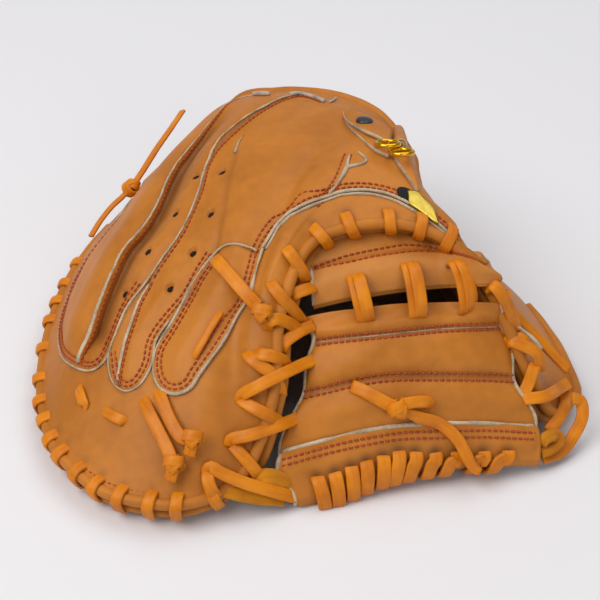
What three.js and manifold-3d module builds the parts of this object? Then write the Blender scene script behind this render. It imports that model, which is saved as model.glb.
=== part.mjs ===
// A catcher's mitt, lying face down on its rim. Millimetres, +Z up, the web towards -Y.
// It is worn on the right hand: the fingers point to -X and -Y, the thumb to +X and -Y.
// The padded palm is a dome with the ball pocket under it, and the leather back is a second
// dome over it. The hand goes in between the two, from the back (+Y, +X).
import * as THREE from 'three';
import Module from 'manifold-3d';
import { mergeVertices } from 'three/addons/utils/BufferGeometryUtils.js';

const wasm = await Module();
wasm.setup();

// Leather and padding
const LEATHER = 2.4;
const PANEL = 1.6;
const GAP = 0.3;
// Overlaid panels lie this far above the facets of the back
const LIFT = 0.9;
const PAD_HEEL = 19;
const PAD_PALM = 15;
const PAD_RIM = 9;
const PAD_LEG = 5;
const PAD_SIDE = 5;
const FLANGE = 1.8;
const WEB_LEATHER = 3;
const CROTCH_PADDING = 6;
const TIP_PADDING = 7;

// Rolled edges, as radii
const PIPING = 2.8;
const PALM_PIPING = 2.4;
const WELT = 2;
const BINDING = 2.6;

// Laces are flat strips of rawhide
const LACE_WIDTH = 6;
const LACE_THICK = 1.6;
const KNOT = 5.5;

// Wrist strap and its metal
const RING_RADIUS = 5.6;
const RING_WIRE = 1.15;
const RIVET_RADIUS = 4.6;
const RIVET_HEIGHT = 1.4;

const LEATHER_TAN = 0xc4873f;
const LACE_ORANGE = 0xd98f24;
const RAW_EDGE = 0xd8cbb8;
const GOLD = 0xe3b32a;
const BLACK = 0x26241f;

const vec = (x, y, z) => new THREE.Vector3(x, y, z);
const clamp = (value, low, high) => Math.min(Math.max(value, low), high);
const steps = (from, to, count) =>
  Array.from({ length: count + 1 }, (_, i) => from + ((to - from) * i) / count);

// The back, one row for each section from the little-finger rim, over the hand, to the thumb
// rim: its end at the wrist, the two points that it is drawn towards, and its end at the
// finger, crotch or thumb rim.
const BACK = [
  // wrist            first pull        second pull       rim
  [[-84, 136, 14], [-124, 86, 14], [-139, 26, 13], [-127, -44, 13]],
  [[-55, 136, 48], [-92, 71, 61], [-113, 2, 51], [-118, -71, 14]],
  [[-35, 132, 77], [-67, 64, 90], [-92, -9, 69], [-108, -85, 14]],
  [[-14, 124, 86], [-44, 53, 104], [-69, -21, 78], [-91, -100, 14]],
  [[0, 118, 90], [-30, 46, 112], [-51, -29, 85], [-73, -108, 15]],
  [[14, 112, 92], [-20, 40, 114], [-38, -36, 94], [-49, -110, 16]],
  [[25, 105, 93], [-6, 36, 114], [-42, -46, 93], [-27, -97, 20]],
  [[34, 98, 93], [6, 35, 114], [-40, -58, 82], [-14, -78, 48]],
  [[42, 90, 92], [18, 36, 112], [-18, -28, 99], [-10, -48, 76]],
  [[50, 76, 90], [34, 40, 109], [12, 6, 108], [6, -17, 92]],
  [[58, 58, 87], [53, 35, 104], [47, 13, 102], [42, -10, 97]],
  [[60, 46, 84], [64, 24, 96], [68, 3, 93], [72, -19, 91]],
  [[64, 42, 72], [73, 16, 80], [82, -9, 78], [91, -35, 72]],
  [[74, 46, 52], [89, 14, 64], [101, -17, 60], [108, -49, 40]],
  [[86, 54, 30], [106, 22, 42], [118, -15, 35], [122, -55, 17]],
  [[97, 60, 14], [120, 36, 13], [133, 4, 13], [136, -36, 12]],
];

// The hand side of the palm pad, one row for each of the same sections: its heel on the
// ground, the two points that it is drawn towards, and its end under the rim of the back.
const PALM = [
  // heel            first pull        second pull      rim
  [[-82, 134, 2], [-121, 86, 2], [-135, 26, 2], [-124, -43, 2]],
  [[-60, 143, -2], [-84, 100, 70], [-104, 0, 34], [-115, -69, 5]],
  [[-38, 148, -2], [-50, 126, 84], [-84, -20, 58], [-106, -83, 5]],
  [[-18, 150, -2], [-27, 126, 90], [-70, -32, 70], [-89, -98, 5]],
  [[0, 149, -2], [-12, 124, 92], [-58, -36, 80], [-72, -106, 5]],
  [[12, 147, -2], [-2, 122, 96], [-44, -36, 90], [-48, -107, 6]],
  [[24, 145, -2], [8, 119, 97], [-42, -44, 84], [-21, -92, 13]],
  [[35, 141, -2], [20, 115, 97], [-34, -50, 74], [-9, -74, 42]],
  [[46, 136, -2], [32, 111, 95], [-14, -26, 90], [-4, -44, 67]],
  [[57, 129, -2], [45, 104, 90], [16, 8, 97], [9, -13, 83]],
  [[67, 119, -2], [55, 95, 78], [40, 22, 92], [42, -4, 89]],
  [[75, 109, -2], [60, 84, 64], [54, 18, 80], [70, -13, 84]],
  [[82, 98, -2], [66, 74, 50], [68, 6, 66], [86, -32, 66]],
  [[88, 86, -2], [74, 66, 36], [84, 0, 44], [102, -45, 36]],
  [[93, 74, -2], [88, 52, 20], [104, -4, 26], [116, -50, 9]],
  [[94, 60, 2], [117, 35, 2], [130, 4, 2], [132, -35, 2]],
];

// The web, one row for each line across it from the crotch down to its tip: its left end,
// its middle and its right end.
const WEB = [
  [[5, -24, 79], [45, -13, 85], [85, -19, 77]],
  [[6, -31, 73], [46, -25, 80], [88, -20, 73]],
  [[6, -37, 66], [47, -32, 72], [89, -22, 67]],
  [[3, -41, 64], [46, -38, 69], [91, -29, 62]],
  [[6, -50, 56], [46, -50, 62], [95, -38, 54]],
  [[1, -67, 40], [46, -64, 47], [101, -56, 37]],
  [[-9, -88, 21], [46, -78, 29], [110, -70, 20]],
  [[-4, -100, 7], [46, -89, 9], [111, -80, 8]],
];

// A surface through rows of four points each, as a function of the row and the way along it
function rowsSurface(rows) {
  const rails = [0, 1, 2, 3].map((column) => {
    const points = rows.map((row) => vec(...row[column]));
    return new THREE.CatmullRomCurve3(points, false, 'catmullrom', 0.5);
  });
  const last = rows.length - 1;
  return (u, v) => {
    const ends = rails.map((rail) => rail.getPoint(clamp(u / last, 0, 1)));
    return new THREE.CubicBezierCurve3(...ends).getPoint(v);
  };
}

const back = rowsSurface(BACK);
const palm = rowsSurface(PALM);

// The web's surface: row is 0 at the crotch and 7 at the tip, across is 0 at its left edge
const webRails = [0, 1, 2].map((column) => {
  const points = WEB.map((row) => vec(...row[column]));
  return new THREE.CatmullRomCurve3(points, false, 'catmullrom', 0.5);
});

function web(across, row) {
  const [left, middle, right] = webRails.map(
    (rail) => rail.getPoint(clamp(row / (WEB.length - 1), 0, 1)),
  );
  const bulge = middle.clone().multiplyScalar(2).sub(left.clone().add(right).multiplyScalar(0.5));
  return new THREE.QuadraticBezierCurve3(left, bulge, right).getPoint(across);
}

// The way out of a surface, taken a little inside its edges, where its sections run together
function facing(surface, u, v, range) {
  const [uLow, uHigh, vLow, vHigh] = range;
  const uStep = (uHigh - uLow) / 400;
  const vStep = (vHigh - vLow) / 400;
  const a = clamp(u, uLow + uStep * 4, uHigh - uStep * 4);
  const b = clamp(v, vLow + vStep * 8, vHigh - vStep * 8);
  const alongU = surface(a + uStep, b).sub(surface(a - uStep, b));
  const alongV = surface(a, b + vStep).sub(surface(a, b - vStep));
  return alongV.cross(alongU).normalize();
}

const SECTIONS = BACK.length - 1;
// The leather ends this far short of its rolled edge, in millimetres at the rim and in
// sections at both sides
const EDGE_MARGIN = 4.2;
const SIDE_EDGE = 0.12;
const HAND_RANGE = [0, SECTIONS, 0, 1];
const WEB_RANGE = [0, 1, 0, WEB.length - 1];
const backFacing = (u, v) => facing(back, u, v, HAND_RANGE);
// The padding goes in towards the middle of the pocket, so that it never folds over itself
const POCKET_MIDDLE = vec(25, 20, 10);
const palmFacing = (u, v) => facing(palm, u, v, HAND_RANGE)
  .lerp(palm(u, v).sub(POCKET_MIDDLE).normalize(), 0.6).normalize();
const webFacing = (across, row) => facing(web, across, row, WEB_RANGE);
const onBack = (u, v, height) => back(u, v).addScaledVector(backFacing(u, v), height);
const onPalm = (u, v, height) => palm(u, v).addScaledVector(palmFacing(u, v), height);
const rimEdge = (surface) => (u) => 1 - (EDGE_MARGIN * 0.02) / surface(u, 0.98).distanceTo(surface(u, 1));
const onWeb = (across, row, height) => web(across, row).addScaledVector(webFacing(across, row), height);

// A geometry as a solid whose faces point out
function solidOf(geometry) {
  const bare = new THREE.BufferGeometry();
  bare.setAttribute('position', geometry.getAttribute('position').clone());
  if (geometry.index) bare.setIndex(geometry.index.clone());
  const merged = mergeVertices(bare, 1e-4);
  const vertProperties = new Float32Array(merged.getAttribute('position').array);
  const triVerts = new Uint32Array(merged.index.array);
  const solid = new wasm.Manifold(new wasm.Mesh({ numProp: 3, vertProperties, triVerts }));
  if (solid.volume() > 0) return solid;
  for (let k = 0; k < triVerts.length; k += 3) {
    [triVerts[k], triVerts[k + 1]] = [triVerts[k + 1], triVerts[k]];
  }
  return new wasm.Manifold(new wasm.Mesh({ numProp: 3, vertProperties, triVerts }));
}

// A closed wall between two layers of points. point(i, j, layer) gives them, layer 0 outside.
function wall(columns, rows, point) {
  const positions = [];
  for (const layer of [0, 1]) {
    for (let i = 0; i <= columns; i += 1) {
      for (let j = 0; j <= rows; j += 1) positions.push(...point(i, j, layer).toArray());
    }
  }
  const count = (columns + 1) * (rows + 1);
  const at = (i, j) => i * (rows + 1) + j;
  const faces = [];
  for (let i = 0; i < columns; i += 1) {
    for (let j = 0; j < rows; j += 1) {
      const [a, b, c, d] = [at(i, j), at(i, j + 1), at(i + 1, j + 1), at(i + 1, j)];
      faces.push(a, b, c, a, c, d);
      faces.push(a + count, c + count, b + count, a + count, d + count, c + count);
    }
  }
  const edge = [];
  for (let j = 0; j < rows; j += 1) edge.push(at(0, j));
  for (let i = 0; i < columns; i += 1) edge.push(at(i, rows));
  for (let j = rows; j > 0; j -= 1) edge.push(at(columns, j));
  for (let i = columns; i > 0; i -= 1) edge.push(at(i, 0));
  edge.forEach((p, k) => {
    const q = edge[(k + 1) % edge.length];
    faces.push(q, p, p + count, q, p + count, q + count);
  });
  const geometry = new THREE.BufferGeometry();
  geometry.setAttribute('position', new THREE.Float32BufferAttribute(positions, 3));
  geometry.setIndex(faces);
  return solidOf(geometry);
}

// A sheet of leather on a surface, between two heights, over a range of both directions.
// from and to may be functions of the other direction, which gives the sheet its outline.
function sheet(on, { u, v, top, bottom, columns, rows }, grow, margins) {
  const number = (value, at, along) => (typeof value === 'function' ? value(at, along) : value);
  const us = steps(u[0] - grow * margins[0], u[1] + grow * margins[0], columns);
  return wall(columns, rows, (i, j, layer) => {
    const a = us[i];
    const low = number(v[0], clamp(a, u[0], u[1])) - grow * margins[1];
    const high = number(v[1], clamp(a, u[0], u[1])) + grow * margins[1];
    const b = low + ((high - low) * j) / rows;
    const height = layer === 0 ? number(top, a, b) + grow : number(bottom, a, b) - grow;
    return on(a, b, height);
  });
}

// How far a sheet's two directions are widened for each millimetre of clearance
const HAND_MARGINS = [0.05, 0.005];
const WEB_MARGINS = [0.011, 0.07];

function curveThrough(points) {
  return new THREE.CatmullRomCurve3(points, false, 'centripetal');
}

function tube(points, radius, count, sides) {
  const outline = new THREE.Shape(steps(0, 2 * Math.PI, sides).slice(0, sides).map(
    (angle) => new THREE.Vector2(Math.cos(angle) * radius, Math.sin(angle) * radius),
  ));
  return solidOf(new THREE.ExtrudeGeometry(outline, {
    extrudePath: curveThrough(points), steps: count, bevelEnabled: false,
  }));
}

// A flat strip through a list of [point, outward direction], with its flat side outward
function strip(stations, width, thick) {
  const last = stations.length - 1;
  const corners = stations.map(([point, up], k) => {
    const before = stations[Math.max(k - 1, 0)][0];
    const after = stations[Math.min(k + 1, last)][0];
    const ahead = after.clone().sub(before).normalize();
    const aside = ahead.clone().cross(up).normalize();
    const out = aside.clone().cross(ahead);
    return [[-1, 1], [1, 1], [1, -1], [-1, -1]].map(([x, y]) => point.clone()
      .addScaledVector(aside, (x * width) / 2).addScaledVector(out, (y * thick) / 2));
  });
  const faces = [];
  for (let k = 0; k < last; k += 1) {
    for (let side = 0; side < 4; side += 1) {
      const a = k * 4 + side;
      const b = k * 4 + ((side + 1) % 4);
      faces.push(a, b, b + 4, a, b + 4, a + 4);
    }
  }
  const end = last * 4;
  faces.push(0, 2, 1, 0, 3, 2, end, end + 1, end + 2, end, end + 2, end + 3);
  const geometry = new THREE.BufferGeometry();
  const flat = corners.flat().flatMap((corner) => corner.toArray());
  geometry.setAttribute('position', new THREE.Float32BufferAttribute(flat, 3));
  geometry.setIndex(faces);
  return solidOf(geometry);
}

// The rim as one line: the little-finger side, the finger, crotch and thumb edge, and the
// thumb side. r is 0 to 1 on the first, 1 to 16 on the second and 16 to 17 on the third.
const RIM_END = SECTIONS + 2;
function rimPlace(r) {
  if (r < 1) return [0, r];
  if (r > SECTIONS + 1) return [SECTIONS, RIM_END - r];
  return [r - 1, 1];
}

// The frame of the rim: its place on the back and on the palm, and its way outwards
function rimFrame(r) {
  const at = clamp(r, 0, RIM_END);
  const step = 0.06;
  const here = back(...rimPlace(at));
  const under = palm(...rimPlace(at));
  const ahead = back(...rimPlace(clamp(at + step, 0, RIM_END)))
    .sub(back(...rimPlace(clamp(at - step, 0, RIM_END))));
  const across = here.clone().sub(under).normalize();
  const out = across.clone().cross(ahead).normalize();
  return { here, under, across, out };
}

function rimRoute(from, to, count, outwards, upwards, base) {
  return steps(from, to, count).map((r) => {
    const frame = rimFrame(r);
    return frame[base].clone().addScaledVector(frame.out, outwards)
      .addScaledVector(frame.across, upwards);
  });
}

// Where the spiral lacing crosses the rim, as places along it
const RIM_LOOPS = [0.45, 0.55, 0.63, 0.71, 0.82, 0.93, 1.05, 1.5, 2.03, 2.7, 3.4, 3.93, 4.6, 5.27, 5.75, 6.4];
const CROTCH_LOOPS = [9.1, 9.6, 10.1, 10.5, 11, 11.45, 11.8];
const TIP_LOOPS = [0.06, 0.14, 0.21, 0.27, 0.34, 0.4, 0.47, 0.55, 0.63, 0.71, 0.78, 0.84, 0.92];

const TURN_STEPS = 6;

// A lace wound round an edge: one turn for each loop. ring(place, angle) gives the point and
// the way outwards at an angle, which is 90 degrees on top and 180 inside the edge.
function winding(loops, ring) {
  const stations = [];
  loops.slice(0, -1).forEach((place, k) => {
    for (let step = 0; step < TURN_STEPS; step += 1) {
      const share = step / TURN_STEPS;
      stations.push(ring(place + (loops[k + 1] - place) * share, Math.PI * (1 - 2 * share)));
    }
  });
  const last = loops[loops.length - 1];
  for (let step = 0; step <= TURN_STEPS * 0.8; step += 1) {
    stations.push(ring(last, Math.PI * (1 - (2 * step) / TURN_STEPS)));
  }
  return stations;
}

// One side of a rounded square, where a circle has a sine or a cosine
const squared = (share) => Math.sign(share) * Math.abs(share) ** 0.7;

// The lace round both edges of the rim, never lower than the ground it lies on
const LACE_REACH = 6.4;
const LACE_STAND = 3.8;
function rimRing(r, angle) {
  const { here, under, across, out } = rimFrame(r);
  const middle = here.clone().add(under).multiplyScalar(0.5);
  const half = here.distanceTo(under) / 2 + LACE_STAND;
  const way = out.clone().multiplyScalar(squared(Math.cos(angle)) * LACE_REACH)
    .addScaledVector(across, squared(Math.sin(angle)) * half);
  const point = middle.add(way);
  point.z = Math.max(point.z, LACE_THICK / 2 + GAP + 0.1);
  const up = out.clone().multiplyScalar(Math.cos(angle) / LACE_REACH)
    .addScaledVector(across, Math.sin(angle) / half);
  return [point, up.normalize()];
}

// The lace round the bottom edge of the web's tip panel
const TIP_ROW = 6.55;
const TIP_HALF = 0.44;
const TIP_REACH = 13.6;
const TIP_STAND = 2.6;
function tipRing(across, angle) {
  const middle = onWeb(across, TIP_ROW, -TIP_PADDING / 2);
  const out = webFacing(across, TIP_ROW);
  const down = web(across, TIP_ROW + 0.2).sub(web(across, TIP_ROW - 0.2)).normalize();
  const half = TIP_PADDING / 2 + TIP_STAND;
  const point = middle.addScaledVector(down, Math.cos(angle) * TIP_REACH)
    .addScaledVector(out, Math.sin(angle) * half);
  point.z = Math.max(point.z, LACE_THICK / 2 + GAP + 0.1);
  const up = down.clone().multiplyScalar(Math.cos(angle) / TIP_REACH)
    .addScaledVector(out, Math.sin(angle) / half);
  return [point, up.normalize()];
}

// A lace laid on a surface through [u, v, height] places, smoothed
function laid(on, out, places) {
  const route = curveThrough(places.map(([a, b, height]) => on(a, b, height)));
  const count = places.length * 3;
  const level = places.length - 1;
  return steps(0, 1, count).map((share) => {
    const k = clamp(Math.round(share * level), 0, level);
    return [route.getPoint(share), out(places[k][0], places[k][1])];
  });
}

// A lace over the open gap in the web, from a hole in the crotch strip to a hole in the next
// strip. Its flat side stays level across the web.
const WEB_LOOPS = [0.28, 0.58, 0.86];
const WEB_LOOP_STEPS = 21;
function webLoop(across) {
  const route = curveThrough([
    [across - 0.02, 1.2, -9], [across - 0.03, 1.15, -1], [across - 0.01, 1.6, 4], [across, 2.5, 6],
    [across + 0.02, 3.2, 4.5], [across + 0.02, 3.45, -1], [across + 0.01, 3.4, -7],
  ].map(([a, b, height]) => onWeb(a, b, height)));
  const wide = onWeb(1, 2.5, 0).sub(onWeb(0, 2.5, 0)).normalize();
  return steps(0, 1, WEB_LOOP_STEPS).map((share) => [
    route.getPoint(share), wide.clone().cross(route.getTangent(share)),
  ]);
}

// A lace through free points, each with the way that its flat side looks
function free(points) {
  const route = curveThrough(points.map(([point]) => vec(...point)));
  const ups = curveThrough(points.map(([, up]) => vec(...up)));
  return steps(0, 1, points.length * 3).map((share) => [route.getPoint(share), ups.getPoint(share)]);
}

function knot(center, radius) {
  const ball = new THREE.IcosahedronGeometry(radius, 1);
  ball.scale(1, 0.85, 0.75);
  ball.translate(center.x, center.y, center.z);
  return solidOf(ball);
}

// The front edges of the overlaid panels, as the way v along each section u, and rounded
// where a panel ends in a finger stall.
const rounded = (u, middle, half) => Math.sqrt(Math.max(0, 1 - ((u - middle) / half) ** 2));
const littleEnd = (u) => 0.72 + 0.12 * rounded(u, 1.1, 0.85);
const middleEnd = (u) => 0.76 + 0.09 * rounded(u, 2.82, 0.62);
const WELT_ROUTE = [
  [4.87, 0.838], [5.4, 0.78], [5.93, 0.721], [6.4, 0.68], [6.68, 0.617], [6.7, 0.558],
  [7.17, 0.517], [8.1, 0.61], [8.8, 0.71], [9.57, 0.762], [10.2, 0.833], [10.57, 0.9], [10.9, 0.95],
];
const INDEX_END = [
  [3.5, 0.8], [3.75, 0.815], [4.17, 0.835], [4.6, 0.835], [5, 0.795], [5.5, 0.74], [5.9, 0.69],
  [6.2, 0.65], [6.45, 0.58], [6.7, 0.52], [7.17, 0.485], [8.1, 0.575], [8.8, 0.68], [9.5, 0.73],
  [10.2, 0.79], [10.57, 0.85], [10.8, 0.88],
];
function through(table, at) {
  const k = clamp(table.findIndex(([u]) => u >= at), 1, table.length - 1);
  const [[u0, v0], [u1, v1]] = [table[k - 1], table[k]];
  return v0 + ((v1 - v0) * clamp(at - u0, 0, u1 - u0)) / (u1 - u0);
}

// The raised flanges between the stalls, as [u, v, height]
const RIDGE_LITTLE = [
  [2.9, 0.04, 2], [2.3, 0.05, 5], [2.35, 0.2, 8], [2.37, 0.35, 9], [2.23, 0.52, 8],
  [2.03, 0.72, 7], [1.67, 0.825, 3],
];
const RIDGE_MIDDLE = [
  [5.6, 0.06, 2], [4.4, 0.03, 3], [3.73, 0.142, 4], [3.05, 0.28, 4], [3.07, 0.4, 5],
  [3.15, 0.52, 5], [2.88, 0.65, 4], [2.7, 0.77, 4], [2.8, 0.85, 3],
];
function flange(places, grow) {
  const foot = curveThrough(places.map(([u, v]) => onBack(u, v, PANEL + LIFT + GAP * 2)));
  const crest = curveThrough(places.map(([u, v, height]) => onBack(u, v, PANEL + LIFT + GAP * 2 + height)));
  const count = places.length * 4;
  return wall(count, 1, (i, j, layer) => {
    const share = i / count;
    const low = foot.getPoint(share);
    const high = crest.getPoint(share);
    const ahead = foot.getTangent(share);
    const aside = high.clone().sub(low).cross(ahead).normalize();
    const point = j === 0 ? high.addScaledVector(high.clone().sub(low).normalize(), grow)
      : low.addScaledVector(high.clone().sub(low).normalize(), -grow);
    return point.addScaledVector(aside, (layer === 0 ? 1 : -1) * (FLANGE / 2 + grow));
  });
}

// Everything below the ground
const GROUND = 60;
function ground() {
  const block = new THREE.BoxGeometry(600, 600, GROUND);
  block.translate(0, 0, -GROUND / 2);
  return solidOf(block);
}

// The padded tip of the web is round in section
function tipSide(row, side) {
  const round = Math.sqrt(Math.max(0, 1 - ((row - TIP_ROW) / TIP_HALF) ** 2));
  return (TIP_PADDING / 2) * (side * Math.max(round, 0.3) - 1);
}

// The padding is thickest at the heel and thin towards every rim, most of all where the rim
// turns up beside the crotch
const LEG_SECTION = 7.8;
const LEG_HALF = 2;
function padding(u, v) {
  const { lerp } = THREE.MathUtils;
  const side = clamp(Math.min(u, SECTIONS - u) / 1.6, 0, 1);
  const leg = 1 - clamp(Math.abs(u - LEG_SECTION) / LEG_HALF, 0, 1);
  const length = v < 0.25
    ? lerp(PAD_HEEL, PAD_PALM, v / 0.25)
    : lerp(PAD_PALM, lerp(PAD_RIM, PAD_LEG, leg), clamp((v - 0.5) / 0.35, 0, 1));
  return lerp(PAD_SIDE, length, side);
}

function palmPad() {
  const pad = sheet(onPalm, {
    u: [0, SECTIONS], v: [0, rimEdge(palm)], top: 0, bottom: (u, v) => -padding(u, v), columns: 26, rows: 8,
  }, 0, HAND_MARGINS);
  return pad.subtract(ground());
}

const backSheet = (shape) => (grow) => sheet(onBack, shape, grow, HAND_MARGINS);
const webSheet = (shape) => (grow) => sheet(onWeb, shape, grow, WEB_MARGINS);
const lace = (stations, width = LACE_WIDTH) => (grow) =>
  strip(stations, width + grow * 2, LACE_THICK + grow * 2);
const roll = (points, radius, count) => (grow) => tube(points, radius + grow, count, 6);

// A lace with a knot on it: the knot and both its ends are one piece of rawhide
function tied(center, radius, ends) {
  return (grow) => ends.reduce(
    (whole, stations) => whole.add(lace(stations)(grow)),
    knot(center, radius + grow),
  );
}

function ring(center, normal, grow) {
  const torus = new THREE.TorusGeometry(RING_RADIUS, RING_WIRE + grow, 6, 20);
  const turn = new THREE.Quaternion().setFromUnitVectors(vec(0, 0, 1), normal);
  torus.applyQuaternion(turn);
  torus.translate(center.x, center.y, center.z);
  return solidOf(torus);
}

// A flat plate on the back between four corners in (u, v), lofted so that it bends with it
const PLATE_SPREAD = 0.16;
function plate(corners, low, high, grow) {
  const middle = [0, 1].map((k) => corners.reduce((sum, corner) => sum + corner[k] / 4, 0));
  const [a, b, c, d] = corners.map((corner) => corner.map(
    (value, k) => middle[k] + (value - middle[k]) * (1 + grow * PLATE_SPREAD),
  ));
  return wall(6, 3, (i, j, layer) => {
    const s = i / 6;
    const t = j / 3;
    const u = (a[0] * (1 - s) + d[0] * s) * (1 - t) + (b[0] * (1 - s) + c[0] * s) * t;
    const v = (a[1] * (1 - s) + d[1] * s) * (1 - t) + (b[1] * (1 - s) + c[1] * s) * t;
    return onBack(u, v, layer === 0 ? high + grow : low - grow);
  });
}

// Where the strap's metal sits on the back
const RIVET_AT = vec(32.4, 60.3, 106.6);
const RING_1_AT = vec(42.5, 34, 110.6);
const RING_2_AT = vec(48.8, 27.7, 109.9);
const RING_UP = vec(0, 0.35, 0.94).normalize();
const STRAP_UP = vec(0.25, 0.1, 1).normalize();

function rivet(grow) {
  const radius = RIVET_RADIUS + grow;
  const height = RIVET_HEIGHT + grow * 2;
  const cap = new THREE.CylinderGeometry(radius * 0.8, radius, height, 20);
  cap.applyQuaternion(new THREE.Quaternion().setFromUnitVectors(vec(0, 1, 0), STRAP_UP));
  cap.translate(RIVET_AT.x, RIVET_AT.y, RIVET_AT.z);
  return solidOf(cap);
}

const sideLace = (from, to) => lace(free([from, ...to]));

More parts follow.
